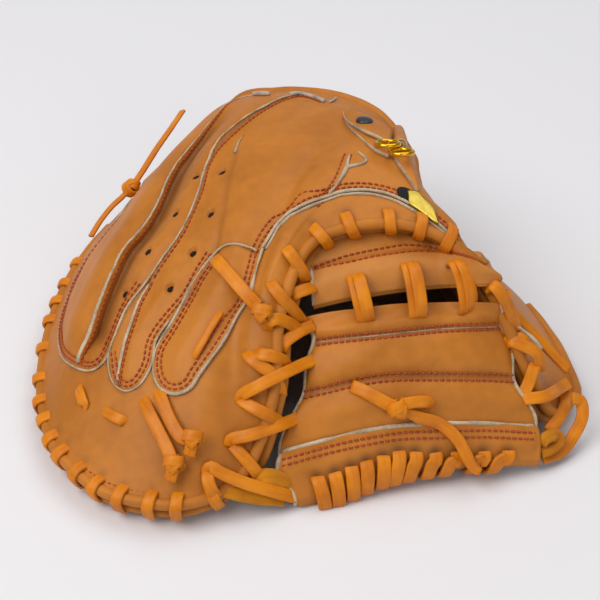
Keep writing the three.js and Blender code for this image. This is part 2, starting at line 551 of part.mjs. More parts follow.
// Every piece, the ones that keep their whole shape first: each is cut clear of all the ones
// before it, so that a lace passes through its holes in the leather.
const PIECES = [
  ['rim_lace', LACE_ORANGE, lace(winding(RIM_LOOPS, rimRing))],
  ['crotch_lace', LACE_ORANGE, lace(winding(CROTCH_LOOPS, rimRing))],
  ['tip_lace', LACE_ORANGE, lace(winding(TIP_LOOPS, tipRing))],
  ...WEB_LOOPS.map((across, k) => [
    `web_loop_${k + 1}`, LACE_ORANGE, lace(webLoop(across), LACE_WIDTH + 1),
  ]),
  ['side_lace_left_1', LACE_ORANGE, sideLace([[-30, -74, 50], [-0.6, -0.4, 0.6]], [
    [[-16, -76, 52], [-0.3, -0.5, 0.8]], [[-3, -72, 50], [0, -0.6, 0.8]], [[4, -60, 52], [0, -0.6, 0.8]],
  ])],
  ['side_lace_left_2', LACE_ORANGE, sideLace([[-33, -90, 38], [-0.6, -0.5, 0.6]], [
    [[-19, -90, 38], [-0.3, -0.6, 0.7]], [[-6, -83, 36], [0, -0.6, 0.8]], [[3, -72, 38], [0, -0.6, 0.8]],
  ])],
  ['side_lace_left_3', LACE_ORANGE, sideLace([[-42, -101, 32], [-0.4, -0.6, 0.7]], [
    [[-30, -108, 22], [-0.3, -0.6, 0.7]], [[-14, -107, 14], [0, -0.6, 0.8]], [[-1, -100, 14], [0, -0.6, 0.8]],
  ])],
  ['side_lace_right_1', LACE_ORANGE, sideLace([[90, -42, 60], [0, -0.6, 0.8]], [
    [[99, -45, 56], [0.2, -0.6, 0.8]], [[108, -43, 50], [0.4, -0.5, 0.8]], [[113, -36, 42], [0.5, -0.3, 0.8]],
  ])],
  ['side_lace_right_2', LACE_ORANGE, sideLace([[99, -59, 45], [0, -0.6, 0.8]], [
    [[108, -59, 38], [0.2, -0.6, 0.8]], [[118, -56, 33], [0.4, -0.5, 0.8]], [[127, -44, 27], [0.6, -0.3, 0.8]],
  ])],
  ['thumb_tip_loop', LACE_ORANGE, sideLace([[134, -42, 17], [0.5, 0, 0.8]], [
    [[139, -52, 14], [0.8, -0.3, 0.5]], [[134, -66, 10], [0.6, -0.6, 0.5]], [[118, -76, 9], [0.3, -0.8, 0.5]],
  ])],
  ['web_tie', LACE_ORANGE, tied(vec(45, -74, 47), KNOT, [
    free([[[45, -74, 47], [0, -0.5, 0.8]], [[36, -70, 52], [0, -0.5, 0.8]], [[27, -67, 56], [0, -0.5, 0.8]]]),
    free([
      [[45, -74, 47], [0, -0.5, 0.8]], [[60, -78, 41], [0, -0.5, 0.8]], [[70, -83, 34], [0, -0.5, 0.8]],
      [[78, -88, 24], [0, -0.6, 0.7]], [[83, -91, 17], [0, -0.7, 0.6]],
    ]),
  ])],
  ['finger_tie', LACE_ORANGE, tied(onBack(7.3, 0.83, 5), KNOT, [
    laid(onBack, backFacing, [[4.75, 0.605, -1.5], [5, 0.63, 3.4], [6, 0.71, 4.4], [7.3, 0.83, 5]]),
  ])],
  ['tip_tie_1', LACE_ORANGE, tied(onBack(4.5, 0.95, 7), KNOT, [
    laid(onBack, backFacing, [[3.4, 0.84, -1], [3.5, 0.85, 3], [3.95, 0.9, 5], [4.5, 0.95, 7]]),
  ])],
  ['tip_tie_2', LACE_ORANGE, tied(onBack(4.8, 0.91, 6), KNOT, [
    laid(onBack, backFacing, [[3.9, 0.82, -1], [3.95, 0.835, 3], [4.3, 0.87, 4], [4.8, 0.91, 6]]),
  ])],
  ['little_tie', LACE_ORANGE, tied(vec(-93, 92, 44), KNOT + 1, [
    free([
      [[-93, 92, 44], [-0.7, 0, 0.6]], [[-103, 82, 38], [-0.7, 0, 0.6]], [[-113, 68, 30], [-0.7, 0, 0.6]],
    ]),
    free([
      [[-93, 92, 44], [-0.7, 0, 0.6]], [[-83, 102, 56], [-0.7, 0, 0.6]], [[-72, 118, 66], [-0.7, 0, 0.6]],
      [[-66, 132, 70], [-0.7, 0, 0.6]],
    ]),
  ])],
  ['thumb_tie', LACE_ORANGE, tied(onBack(12.3, 0.84, 5), KNOT, [
    laid(onBack, backFacing, [[12.3, 0.84, 5], [13.3, 0.74, 5], [14, 0.76, 5], [14.7, 0.86, 4]]),
  ])],
  ['slot_lace', LACE_ORANGE, lace(laid(onBack, backFacing, [
    [5.12, 0.69, -1], [5.07, 0.704, 2.6], [4.85, 0.74, 4], [4.62, 0.77, 2.6], [4.55, 0.785, -1],
  ]))],
  ['stitch_lace_1', LACE_ORANGE, lace(laid(onBack, backFacing, [
    [1.9, 0.87, -1], [1.9, 0.88, 1.4], [1.98, 0.905, 1.8], [2.05, 0.925, 1.4], [2.08, 0.935, -1],
  ]))],
  ['stitch_lace_2', LACE_ORANGE, lace(laid(onBack, backFacing, [
    [2.6, 0.892, -1], [2.68, 0.895, 1.4], [2.95, 0.9, 1.8], [3.2, 0.91, 1.4], [3.28, 0.914, -1],
  ]))],
  ['strap_rivet', BLACK, rivet],
  ['ring_1', GOLD, (grow) => ring(RING_1_AT, RING_UP, grow)],
  ['ring_2', GOLD, (grow) => ring(RING_2_AT, RING_UP, grow)],
  ['strap_tab', LEATHER_TAN, (grow) => strip([
    [vec(24, 69.6, 103.4), vec(0.04, 0.1, 0.99)], [vec(31.2, 58.5, 104.4), vec(0.07, 0.15, 0.99)],
    [vec(38.3, 50.2, 105), vec(0.19, 0.17, 0.97)], [vec(43.5, 45.4, 104.6), vec(0.26, 0.16, 0.95)],
  ], 15 + grow * 2, 2.8 + grow * 2)],
  ['strap_belt', LEATHER_TAN, (grow) => strip([
    [vec(51.5, 59, 98.6), vec(0.46, 0.21, 0.86)], [vec(52, 45, 101.6), vec(0.37, 0.19, 0.91)],
    [vec(53.5, 32, 103.2), vec(0.33, 0.1, 0.94)], [vec(54.8, 21.3, 103.5), vec(0.28, 0.01, 0.96)],
  ], 13 + grow * 2, 2.8 + grow * 2)],
  ['label_plate', GOLD, (grow) => plate(
    [[10.14, 0.71], [10.2, 0.8], [10.6, 0.88], [10.58, 0.76]], PANEL + 2.2, PANEL + 3.4, grow,
  )],
  ['label_backing', BLACK, (grow) => plate(
    [[9.98, 0.7], [10.04, 0.79], [10.64, 0.89], [10.61, 0.73]], PANEL + 0.6, PANEL + 1.8, grow,
  )],
  ['crotch_welt', RAW_EDGE, roll(WELT_ROUTE.map(([u, v]) => onBack(u, v, WELT + LIFT)), WELT, 24)],
  ['finger_piping', LEATHER_TAN, roll(rimRoute(0.25, 6.85, 26, 1.2, -LEATHER / 2, 'here'), PIPING, 26)],
  ['crotch_piping', LEATHER_TAN, roll(rimRoute(7, 16.6, 34, 1.2, -LEATHER / 2, 'here'), PIPING, 34)],
  ['palm_piping', LEATHER_TAN, roll(rimRoute(1.2, 15.8, 38, 0.8, 1.4, 'under').map((point) => {
    point.z = Math.max(point.z, PALM_PIPING + GAP);
    return point;
  }), PALM_PIPING, 38)],
  ['wrist_binding', LEATHER_TAN, roll(
    steps(0.5, 14.4, 26).map((u) => onBack(u, 0, -LEATHER / 2)
      .addScaledVector(back(u, 0).sub(back(u, 0.03)).normalize(), BINDING + GAP)),
    BINDING, 26,
  )],
  ['ridge_little', RAW_EDGE, (grow) => flange(RIDGE_LITTLE, grow)],
  ['ridge_middle', RAW_EDGE, (grow) => flange(RIDGE_MIDDLE, grow)],
  ['stall_little', LEATHER_TAN, backSheet({
    u: [0.3, 2.0], v: [0.06, littleEnd], top: PANEL + LIFT, bottom: LIFT, columns: 5, rows: 7,
  })],
  ['stall_middle', LEATHER_TAN, backSheet({
    u: [2.2, 3.4], v: [0.04, middleEnd], top: PANEL + LIFT, bottom: LIFT, columns: 5, rows: 7,
  })],
  ['hand_back_panel', LEATHER_TAN, backSheet({
    u: [3.5, 10.8], v: [0.03, (u) => through(INDEX_END, u)], top: PANEL + LIFT, bottom: LIFT,
    columns: 18, rows: 6,
  })],
  ['crotch_strip', LEATHER_TAN, webSheet({
    u: [0, 1], v: [0.3, 2], top: (a, b) => 1.5 * Math.sin((Math.PI * b) / 2), bottom: -CROTCH_PADDING,
    columns: 8, rows: 4,
  })],
  ['web_strip_2', LEATHER_TAN, webSheet({
    u: [0, 1], v: [3, 3.95], top: 0, bottom: -WEB_LEATHER, columns: 8, rows: 2,
  })],
  ['web_strip_3', LEATHER_TAN, webSheet({
    u: [0.01, 0.99], v: [4.05, 4.96], top: 0, bottom: -WEB_LEATHER, columns: 8, rows: 2,
  })],
  ['web_strip_4', LEATHER_TAN, webSheet({
    u: [0, 1], v: [5.04, 5.92], top: 0, bottom: -WEB_LEATHER, columns: 8, rows: 2,
  })],
  ['web_tip_panel', LEATHER_TAN, webSheet({
    u: [0, 1], v: [TIP_ROW - TIP_HALF, TIP_ROW + TIP_HALF], top: (a, b) => tipSide(b, 1),
    bottom: (a, b) => tipSide(b, -1), columns: 8, rows: 5,
  })],
  ['back_shell', LEATHER_TAN, backSheet({
    u: [SIDE_EDGE, SECTIONS - SIDE_EDGE], v: [0, rimEdge(back)], top: 0, bottom: -LEATHER, columns: 30, rows: 8,
  })],
  ['palm_pad', LEATHER_TAN, palmPad],
];

const touching = (a, b) => [0, 1, 2].every((k) => a.min[k] <= b.max[k] && b.min[k] <= a.max[k]);

// The largest body of a solid, and none of the crumbs that a cut may leave
function largest(solid) {
  return solid.decompose().reduce((best, body) => (body.volume() > best.volume() ? body : best));
}

function geometryOf(solid) {
  const mesh = solid.getMesh();
  const geometry = new THREE.BufferGeometry();
  geometry.setAttribute('position', new THREE.BufferAttribute(mesh.vertProperties, 3));
  geometry.setIndex(new THREE.BufferAttribute(mesh.triVerts, 1));
  geometry.computeVertexNormals();
  return geometry;
}

function assemble() {
  const mitt = new THREE.Group();
  const kept = [];
  const below = ground();
  for (const [name, color, make] of PIECES) {
    let solid = make(0);
    for (const clearance of kept) {
      if (touching(solid.boundingBox(), clearance.boundingBox())) solid = solid.subtract(clearance);
    }
    solid = largest(solid.subtract(below));
    kept.push(make(GAP));
    const metal = color === GOLD;
    const mesh = new THREE.Mesh(geometryOf(solid), new THREE.MeshStandardMaterial({
      color, roughness: metal ? 0.25 : 0.6, metalness: metal ? 1 : 0,
    }));
    mesh.name = name;
    mitt.add(mesh);
  }
  return mitt;
}

// The origin is on the ground under the middle of the mitt
const group = assemble();
const middle = new THREE.Box3().setFromObject(group).getCenter(vec(0, 0, 0));
group.position.set(-middle.x, -middle.y, 0);

export default group;
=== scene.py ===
"""A tan leather catcher's mitt for the right hand, lying face down with its web towards the viewer."""

import math

import bpy
import numpy as np
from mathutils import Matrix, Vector


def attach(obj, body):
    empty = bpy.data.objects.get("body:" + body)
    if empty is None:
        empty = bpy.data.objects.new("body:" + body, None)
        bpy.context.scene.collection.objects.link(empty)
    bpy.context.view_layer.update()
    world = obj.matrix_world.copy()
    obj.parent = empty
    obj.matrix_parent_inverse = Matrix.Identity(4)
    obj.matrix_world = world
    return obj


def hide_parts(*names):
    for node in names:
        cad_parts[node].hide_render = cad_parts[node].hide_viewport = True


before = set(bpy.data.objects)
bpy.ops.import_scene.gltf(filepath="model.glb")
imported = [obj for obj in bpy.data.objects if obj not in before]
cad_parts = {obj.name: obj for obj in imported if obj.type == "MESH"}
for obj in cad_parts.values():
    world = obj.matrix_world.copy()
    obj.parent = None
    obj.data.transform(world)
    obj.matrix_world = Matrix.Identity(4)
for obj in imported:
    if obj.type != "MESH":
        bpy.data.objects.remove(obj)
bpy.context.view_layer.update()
bpy.ops.object.select_all(action="DESELECT")

MM = 0.001
# From the mitt's own drawing frame to the row's frame, whose origin is under the middle
SHIFT = np.array([-2.228, -16.162, 0.0])

# Sizes in millimetres, the same as the solids'
LEATHER = 2.4
LACE_WIDTH = 6.2
LACE_THICK = 1.7
PIPING = 2.8
PALM_PIPING = 2.4
BINDING = 2.6
LOWEST = 0.05

# The back: one row for each section from the little-finger rim over the hand to the thumb rim,
# with its wrist end, the two points that it is drawn towards, and its rim end
BACK = [
    [(-84, 136, 14), (-124, 86, 14), (-139, 26, 13), (-127, -44, 13)],
    [(-55, 136, 48), (-92, 71, 61), (-113, 2, 51), (-118, -71, 14)],
    [(-35, 132, 77), (-67, 64, 90), (-92, -9, 69), (-108, -85, 14)],
    [(-14, 124, 86), (-44, 53, 104), (-69, -21, 78), (-91, -100, 14)],
    [(0, 118, 90), (-30, 46, 112), (-51, -29, 85), (-73, -108, 15)],
    [(14, 112, 92), (-20, 40, 114), (-38, -36, 94), (-49, -110, 16)],
    [(25, 105, 93), (-6, 36, 114), (-42, -46, 93), (-27, -97, 20)],
    [(34, 98, 93), (6, 35, 114), (-40, -58, 82), (-14, -78, 48)],
    [(42, 90, 92), (18, 36, 112), (-18, -28, 99), (-10, -48, 76)],
    [(50, 76, 90), (34, 40, 109), (12, 6, 108), (6, -17, 92)],
    [(58, 58, 87), (53, 35, 104), (47, 13, 102), (42, -10, 97)],
    [(60, 46, 84), (64, 24, 96), (68, 3, 93), (72, -19, 91)],
    [(64, 42, 72), (73, 16, 80), (82, -9, 78), (91, -35, 72)],
    [(74, 46, 52), (89, 14, 64), (101, -17, 60), (108, -49, 40)],
    [(86, 54, 30), (106, 22, 42), (118, -15, 35), (122, -55, 17)],
    [(97, 60, 14), (120, 36, 13), (133, 4, 13), (136, -36, 12)],
]

# The hand side of the palm pad, one row for each of the same sections, from its heel
PALM = [
    [(-82, 134, 2), (-121, 86, 2), (-135, 26, 2), (-124, -43, 2)],
    [(-60, 143, -2), (-84, 100, 70), (-104, 0, 34), (-115, -69, 5)],
    [(-38, 148, -2), (-50, 126, 84), (-84, -20, 58), (-106, -83, 5)],
    [(-18, 150, -2), (-27, 126, 90), (-70, -32, 70), (-89, -98, 5)],
    [(0, 149, -2), (-12, 124, 92), (-58, -36, 80), (-72, -106, 5)],
    [(12, 147, -2), (-2, 122, 96), (-44, -36, 90), (-48, -107, 6)],
    [(24, 145, -2), (8, 119, 97), (-42, -44, 84), (-21, -92, 13)],
    [(35, 141, -2), (20, 115, 97), (-34, -50, 74), (-9, -74, 42)],
    [(46, 136, -2), (32, 111, 95), (-14, -26, 90), (-4, -44, 67)],
    [(57, 129, -2), (45, 104, 90), (16, 8, 97), (9, -13, 83)],
    [(67, 119, -2), (55, 95, 78), (40, 22, 92), (42, -4, 89)],
    [(75, 109, -2), (60, 84, 64), (54, 18, 80), (70, -13, 84)],
    [(82, 98, -2), (66, 74, 50), (68, 6, 66), (86, -32, 66)],
    [(88, 86, -2), (74, 66, 36), (84, 0, 44), (102, -45, 36)],
    [(93, 74, -2), (88, 52, 20), (104, -4, 26), (116, -50, 9)],
    [(94, 60, 2), (117, 35, 2), (130, 4, 2), (132, -35, 2)],
]

# The web: one row for each line across it from the crotch down to its tip, with its left end,
# its middle and its right end
WEB = [
    [(5, -24, 79), (45, -13, 85), (85, -19, 77)],
    [(6, -31, 73), (46, -25, 80), (88, -20, 73)],
    [(6, -37, 66), (47, -32, 72), (89, -22, 67)],
    [(3, -41, 64), (46, -38, 69), (91, -29, 62)],
    [(6, -50, 56), (46, -50, 62), (95, -38, 54)],
    [(1, -67, 40), (46, -64, 47), (101, -56, 37)],
    [(-9, -88, 21), (46, -78, 29), (110, -70, 20)],
    [(-4, -100, 7), (46, -89, 9), (111, -80, 8)],
]

SECTIONS = len(BACK) - 1
WEB_END = len(WEB) - 1

# Camera: where it aims, how far off it is, how high it looks from, and its focal length as
# pixels of the 600-pixel frame
AIM = np.array([0.0, 0.0, 40.0])
DISTANCE = 650.0
ELEVATION = math.radians(40)
FOCAL = 1300.0
FRAME_PIXELS = 600
FRAME_MIDDLE = FRAME_PIXELS / 2
AHEAD = np.array([0, math.cos(ELEVATION), -math.sin(ELEVATION)])
RIGHT = np.array([1.0, 0, 0])
UPWARD = np.cross(RIGHT, AHEAD)
EYE = AIM - AHEAD * DISTANCE

rng = np.random.default_rng(7)


# Plain geometry

def unit(vectors):
    vectors = np.asarray(vectors, float)
    return vectors / (np.linalg.norm(vectors, axis=-1, keepdims=True) + 1e-12)


def rail(points, at):
    """A smooth line through points, read at whole and part numbers of them."""
    points = np.asarray(points, float)
    last = len(points) - 1
    at = np.clip(np.asarray(at, float), 0, last)
    k = np.minimum(at.astype(int), last - 1)
    f = (at - k)[..., None]
    padded = np.concatenate([[2 * points[0] - points[1]], points, [2 * points[-1] - points[-2]]])
    a, b, c, d = (padded[k + i] for i in range(4))
    return 0.5 * (2 * b + (c - a) * f + (2 * a - 5 * b + 4 * c - d) * f**2
                  + (3 * b - a - 3 * c + d) * f**3)


def dome(table):
    """A surface over the sections of a table: u runs through its rows, and v from wrist to rim."""
    rows = np.array(table, float)

    def surface(u, v):
        u, v = np.broadcast_arrays(np.asarray(u, float), np.asarray(v, float))
        a, b, c, d = (rail(rows[:, k], u) for k in range(4))
        v = v[..., None]
        return (1 - v)**3 * a + 3 * (1 - v)**2 * v * b + 3 * (1 - v) * v**2 * c + v**3 * d
    return surface


def web(across, row):
    """The web's surface: across from its left end to its right, and row from the crotch down."""
    across, row = np.broadcast_arrays(np.asarray(across, float), np.asarray(row, float))
    left, middle, right = (rail(np.array(WEB, float)[:, k], row) for k in range(3))
    bulge = 2 * middle - (left + right) / 2
    s = across[..., None]
    return (1 - s)**2 * left + 2 * (1 - s) * s * bulge + s**2 * right


def outward(surface, a, b, a_end, b_end):
    """The way out of a surface, taken a little inside its edges."""
    a_step, b_step = a_end / 400, b_end / 400
    a = np.clip(a, a_step * 4, a_end - a_step * 4)
    b = np.clip(b, b_step * 8, b_end - b_step * 8)
    along_a = surface(a + a_step, b) - surface(a - a_step, b)
    along_b = surface(a, b + b_step) - surface(a, b - b_step)
    return unit(np.cross(along_b, along_a))


back = dome(BACK)
palm = dome(PALM)
POCKET_MIDDLE = np.array([25.0, 20, 10])


def back_out(u, v):
    return outward(back, u, v, SECTIONS, 1)


def palm_out(u, v):
    inwards = unit(palm(u, v) - POCKET_MIDDLE)
    return unit(0.4 * outward(palm, u, v, SECTIONS, 1) + 0.6 * inwards)


def web_out(across, row):
    return outward(web, across, row, 1, WEB_END)


def between(at, low, high):
    """0 below low, 1 above high, and smooth from one to the other."""
    t = np.clip((np.asarray(at, float) - low) / (high - low), 0, 1)
    return t * t * (3 - 2 * t)


def run_of(points):
    """How far along a line each of its points is."""
    return np.concatenate([[0], np.cumsum(np.linalg.norm(np.diff(points, axis=0), axis=1))])


def finely(points, parts=16):
    """A smooth line through points, drawn in so many parts between each two of them."""
    return rail(points, np.linspace(0, len(points) - 1, parts * (len(points) - 1) + 1))


def resample(fine, spacing):
    """A finely drawn line, with a point at every spacing along it."""
    run = run_of(fine)
    at = np.linspace(0, run[-1], max(2, int(round(run[-1] / spacing))) + 1)
    return np.stack([np.interp(at, run, values) for values in fine.T], axis=1)


def even(points, spacing):
    """A smooth line through a few points, with a point at every spacing along it."""
    return resample(finely(points, 24), spacing)


def seen(points):
    """Where points show in the 600-pixel frame."""
    offset = np.asarray(points, float) - EYE
    depth = offset @ AHEAD
    return np.stack([FRAME_MIDDLE + FOCAL * (offset @ RIGHT) / depth,
                     FRAME_MIDDLE - FOCAL * (offset @ UPWARD) / depth], -1)


def ray_through(x, y):
    """The way from the camera to what shows at x, y, one millimetre ahead of it."""
    return AHEAD + RIGHT * ((x - FRAME_MIDDLE) / FOCAL) + UPWARD * ((FRAME_MIDDLE - y) / FOCAL)


def sight(x, y, z):
    """The point at height z that shows at x, y in the 600-pixel frame."""
    ray = ray_through(x, y)
    return EYE + ray * ((z - EYE[2]) / ray[2])


class Facing:
    """A surface as the camera sees it, to find the place on it that shows at a frame point."""

    def __init__(self, surface, out, a_end, b_end, a_count, b_count):
        self.surface = surface
        self.a = np.linspace(0, a_end, a_count)
        self.b = np.linspace(0, b_end, b_count)
        self.step_a, self.step_b = self.a[1], self.b[1]
        a, b = np.meshgrid(self.a, self.b, indexing="ij")
        places = surface(a, b)
        self.shown = seen(places)
        self.depth = (places - EYE) @ AHEAD
        self.front = ((places - EYE) * out(a, b)).sum(-1) < 0

    def find(self, x, y):
        miss = np.hypot(self.shown[..., 0] - x, self.shown[..., 1] - y)
        close = (miss < miss.min() + 1.2) & self.front
        if not close.any():
            close = miss < miss.min() + 1.2
        cost = np.where(close, self.depth + miss * 2, 1e9)
        i, j = np.unravel_index(cost.argmin(), cost.shape)
        a, b = self.a[i], self.b[j]
        # The nearest grid place is then moved until it shows at x, y
        for _ in range(4):
            near = ((a, b), (a + self.step_a, b), (a, b + self.step_b))
            at = np.array([seen(self.surface(*place)) for place in near])
            turn = np.stack([at[1] - at[0], at[2] - at[0]], axis=1)
            if abs(np.linalg.det(turn)) < 1e-4:
                break
            move = np.linalg.solve(turn, np.array([x, y]) - at[0])
            move = np.clip(move, -3, 3)
            a = float(np.clip(a + move[0] * self.step_a, self.a[0], self.a[-1] - self.step_a))
            b = float(np.clip(b + move[1] * self.step_b, self.b[0], self.b[-1] - self.step_b))
        return a, b

    def line(self, pixels):
        return np.array([self.find(x, y) for x, y in pixels])


back_view = Facing(back, back_out, SECTIONS, 1, 601, 301)
web_view = Facing(web, web_out, 1, WEB_END, 161, 281)


# Meshes

def declared(piece, slot, *nodes):
    """Says what a piece rides on and hides the solids that it stands for. Its slot is not used."""
    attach(piece, "root")
    if nodes:
        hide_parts(*nodes)
    return piece


def mesh_piece(name, points, faces, materials, slot, *nodes, face_slots=None, uvs=None, shades=None):
    """A mesh in the row's frame, from points in millimetres. uvs are per corner, shades per point."""
    mesh = bpy.data.meshes.new(name)
    points = np.asarray(points, float) + SHIFT
    # Nothing sinks into the ground
    points[:, 2] = np.maximum(points[:, 2], LOWEST)
    mesh.from_pydata((points * MM).tolist(), [], faces)
    for material in materials:
        mesh.materials.append(material)
    if face_slots is not None:
        mesh.polygons.foreach_set("material_index", np.asarray(face_slots, np.int32))
    if uvs is not None:
        layer = mesh.uv_layers.new(name="along")
        layer.data.foreach_set("uv", np.asarray(uvs, np.float32).ravel())
    if shades is not None:
        layer = mesh.attributes.new("shade", "FLOAT", "POINT")
        layer.data.foreach_set("value", np.asarray(shades, np.float32).ravel())
    mesh.polygons.foreach_set("use_smooth", np.full(len(mesh.polygons), True))
    mesh.update()
    piece = bpy.data.objects.new(name, mesh)
    bpy.context.scene.collection.objects.link(piece)
    return declared(piece, slot, *nodes)


def grid_faces(columns, rows, start=0, flip=False):
    """The quads between a grid of points, which are counted from start."""
    i, j = np.meshgrid(np.arange(columns - 1), np.arange(rows - 1), indexing="ij")
    a = (start + i * rows + j).ravel()
    quads = np.stack([a, a + 1, a + rows + 1, a + rows], axis=1)
    if flip:
        quads = quads[:, ::-1]
    return quads


def closed_sheet(name, outer, inner, materials, slot, *nodes, edge_slot=1, shades=None):
    """A sheet with thickness between two grids of points, whose edge faces have their own finish."""
    columns, rows = outer.shape[:2]
    count = columns * rows
    points = np.concatenate([outer.reshape(-1, 3), inner.reshape(-1, 3)])
    index = np.arange(count).reshape(columns, rows)
    edge = np.concatenate([index[0, :-1], index[:-1, -1], index[-1, :0:-1], index[:0:-1, 0]])
    after = np.roll(edge, -1)
    rim = np.stack([after, edge, edge + count, after + count], axis=1)
    faces = [grid_faces(columns, rows), grid_faces(columns, rows, count, True), rim]
    face_slots = np.repeat([0, 0, edge_slot], [len(part) for part in faces])
    if shades is not None:
        shades = np.concatenate([shades.ravel(), shades.ravel()])
    return mesh_piece(name, points, np.concatenate(faces).tolist(), materials, slot, *nodes,
                      face_slots=face_slots, shades=shades)


class Bundle:
    """Several swept shapes gathered into one piece."""

    def __init__(self):
        self.points, self.faces, self.uvs, self.slots, self.count = [], [], [], [], 0

    def add(self, points, faces, uvs, slots):
        self.points.append(points)
        self.faces += [[i + self.count for i in face] for face in faces]
        self.uvs.append(uvs)
        self.slots.append(slots)
        self.count += len(points)

    def sweep(self, centre, section, side, up, section_slots=None, end_slot=0):
        """A section swept along a line: (x, y) pairs for each of its points, along side and up."""
        count, ring = section.shape[:2]
        points = (centre[:, None] + section[..., :1] * side[:, None] + section[..., 1:] * up[:, None])
        k, s = np.meshgrid(np.arange(count - 1), np.arange(ring), indexing="ij")
        a = (k * ring + s).ravel()
        b = (k * ring + (s + 1) % ring).ravel()
        faces = np.stack([a, b, b + ring, a + ring], axis=1).tolist()
        faces += [list(range(ring))[::-1], [(count - 1) * ring + i for i in range(ring)]]
        # The UV map runs along the line in millimetres and once round the section
        along = run_of(centre)
        girth = np.arange(ring + 1) / ring
        corners = [np.stack([along[i], girth[j]], -1)
                   for i, j in ((k, s), (k, s + 1), (k + 1, s + 1), (k + 1, s))]
        uvs = np.concatenate([np.stack(corners, axis=2).reshape(-1, 2), np.zeros((ring * 2, 2))])
        slots = np.zeros(len(a), int) if section_slots is None else np.asarray(section_slots)[s.ravel()]
        self.add(points.reshape(-1, 3), faces, uvs, np.concatenate([slots, [end_slot, end_slot]]))

    def piece(self, name, materials, slot, *nodes):
        return mesh_piece(name, np.concatenate(self.points), self.faces, materials, slot, *nodes,
                          face_slots=np.concatenate(self.slots), uvs=np.concatenate(self.uvs))


def framed(centre, up):
    """The sideways and upward ways of a line at each of its points, square to it."""
    ahead = unit(np.gradient(centre, axis=0))
    side = unit(np.cross(ahead, up))
    return side, np.cross(side, ahead)


def lace_section(width, thick):
    """A flat lace's section with worn round corners, seen along it: its smooth face is on top."""
    w, t = width / 2, thick / 2
    r = min(t * 0.8, 0.7)
    pairs = [(-w, 0), (-w + r * 0.3, t - r * 0.3), (-w + r, t), (-w * 0.4, t * 1.1), (w * 0.4, t * 1.1),
             (w - r, t), (w - r * 0.3, t - r * 0.3), (w, 0), (w - r * 0.3, -t + r * 0.3), (w - r, -t),
             (-w + r, -t), (-w + r * 0.3, -t + r * 0.3)]
    return np.array(pairs)[::-1]


# The smooth grain side is the first finish and the rough flesh side with both edges the second.
# Sections run backwards round the lace, so the faces are counted from the flesh side.
LACE_SIDES = [1, 1, 1, 1, 0, 0, 0, 0, 0, 0, 0, 1]


def lace_into(bundle, route, up, width=LACE_WIDTH, thick=LACE_THICK, spacing=1.2, pinch=0.0):
    """A flat lace along a route, added to a bundle. up is one way, or one for each route point."""
    route = np.asarray(route, float)
    up = np.broadcast_to(np.asarray(up, float), route.shape)
    joined = even(np.hstack([route, unit(up)]), spacing)
    centre, ups = joined[:, :3], unit(joined[:, 3:])
    side, upward = framed(centre, ups)
    section = np.repeat(lace_section(width, thick)[None], len(centre), axis=0)
    share = np.linspace(0, 1, len(centre))
    narrow = 1 - pinch * (1 - np.minimum(between(share, 0, 0.2), 1 - between(share, 0.8, 1)))
    section[..., 0] *= narrow[:, None]
    bundle.sweep(centre, section, side, upward, LACE_SIDES, end_slot=1)
    return centre


def roll_into(bundle, centre, radius, sides=14, wrinkle=0.0, up=(0.1, 0.2, 1)):
    """A rolled edge or a wire: a round section along a line, with a few soft wrinkles."""
    centre = np.asarray(centre, float)
    side, upward = framed(centre, np.broadcast_to(np.array(up, float), centre.shape))
    angle = np.linspace(0, 2 * math.pi, sides, endpoint=False)
    girth = np.asarray(radius, float) * np.ones(len(centre))
    if wrinkle:
        noise = rng.normal(size=len(centre))
        for _ in range(2):
            noise = np.convolve(np.pad(noise, 2, mode="edge"), np.ones(5) / 5, mode="valid")
        girth = girth * (1 + wrinkle * noise)
    section = np.stack([np.cos(angle), -np.sin(angle)], -1)[None] * girth[:, None, None]
    bundle.sweep(centre, section, side, upward)


# Finishes

def srgb(code):
    """A colour from its sRGB hex value, as linear light."""
    values = [int(code[i:i + 2], 16) / 255 for i in (1, 3, 5)]
    linear = [c / 12.92 if c <= 0.04045 else ((c + 0.055) / 1.055)**2.4 for c in values]
    return (*linear, 1.0)


def fill(node, inputs):
    """Sets a node's inputs to values, or links them from other nodes' outputs."""
    for name, value in inputs.items():
        if isinstance(value, bpy.types.NodeSocket):
            node.id_data.links.new(value, node.inputs[name])
        else:
            node.inputs[name].default_value = value


def add_node(tree, kind, settings=None, links=None):
    """A node with its settings and its inputs."""
    node = tree.nodes.new(kind)
    for name, value in (settings or {}).items():
        setattr(node, name, value)
    fill(node, links or {})
    return node


def ramp(tree, value, stops):
    """Colours from sRGB hex values at their places along a value."""
    node = add_node(tree, "ShaderNodeValToRGB", links={"Fac": value})
    for element, (position, code) in zip(node.color_ramp.elements, stops):
        element.position = position
        element.color = srgb(code)
    return node.outputs["Color"]


def bare_material(name):
    """A new material, its node tree and its shader."""
    material = bpy.data.materials.new(name)
    material.use_nodes = True
    return material, material.node_tree, material.node_tree.nodes["Principled BSDF"]


# The spacing of the leather's pores and the depth of its grain and folds, in millimetres
PORE_SPACING = 1.1
GRAIN_DEPTH = 0.36


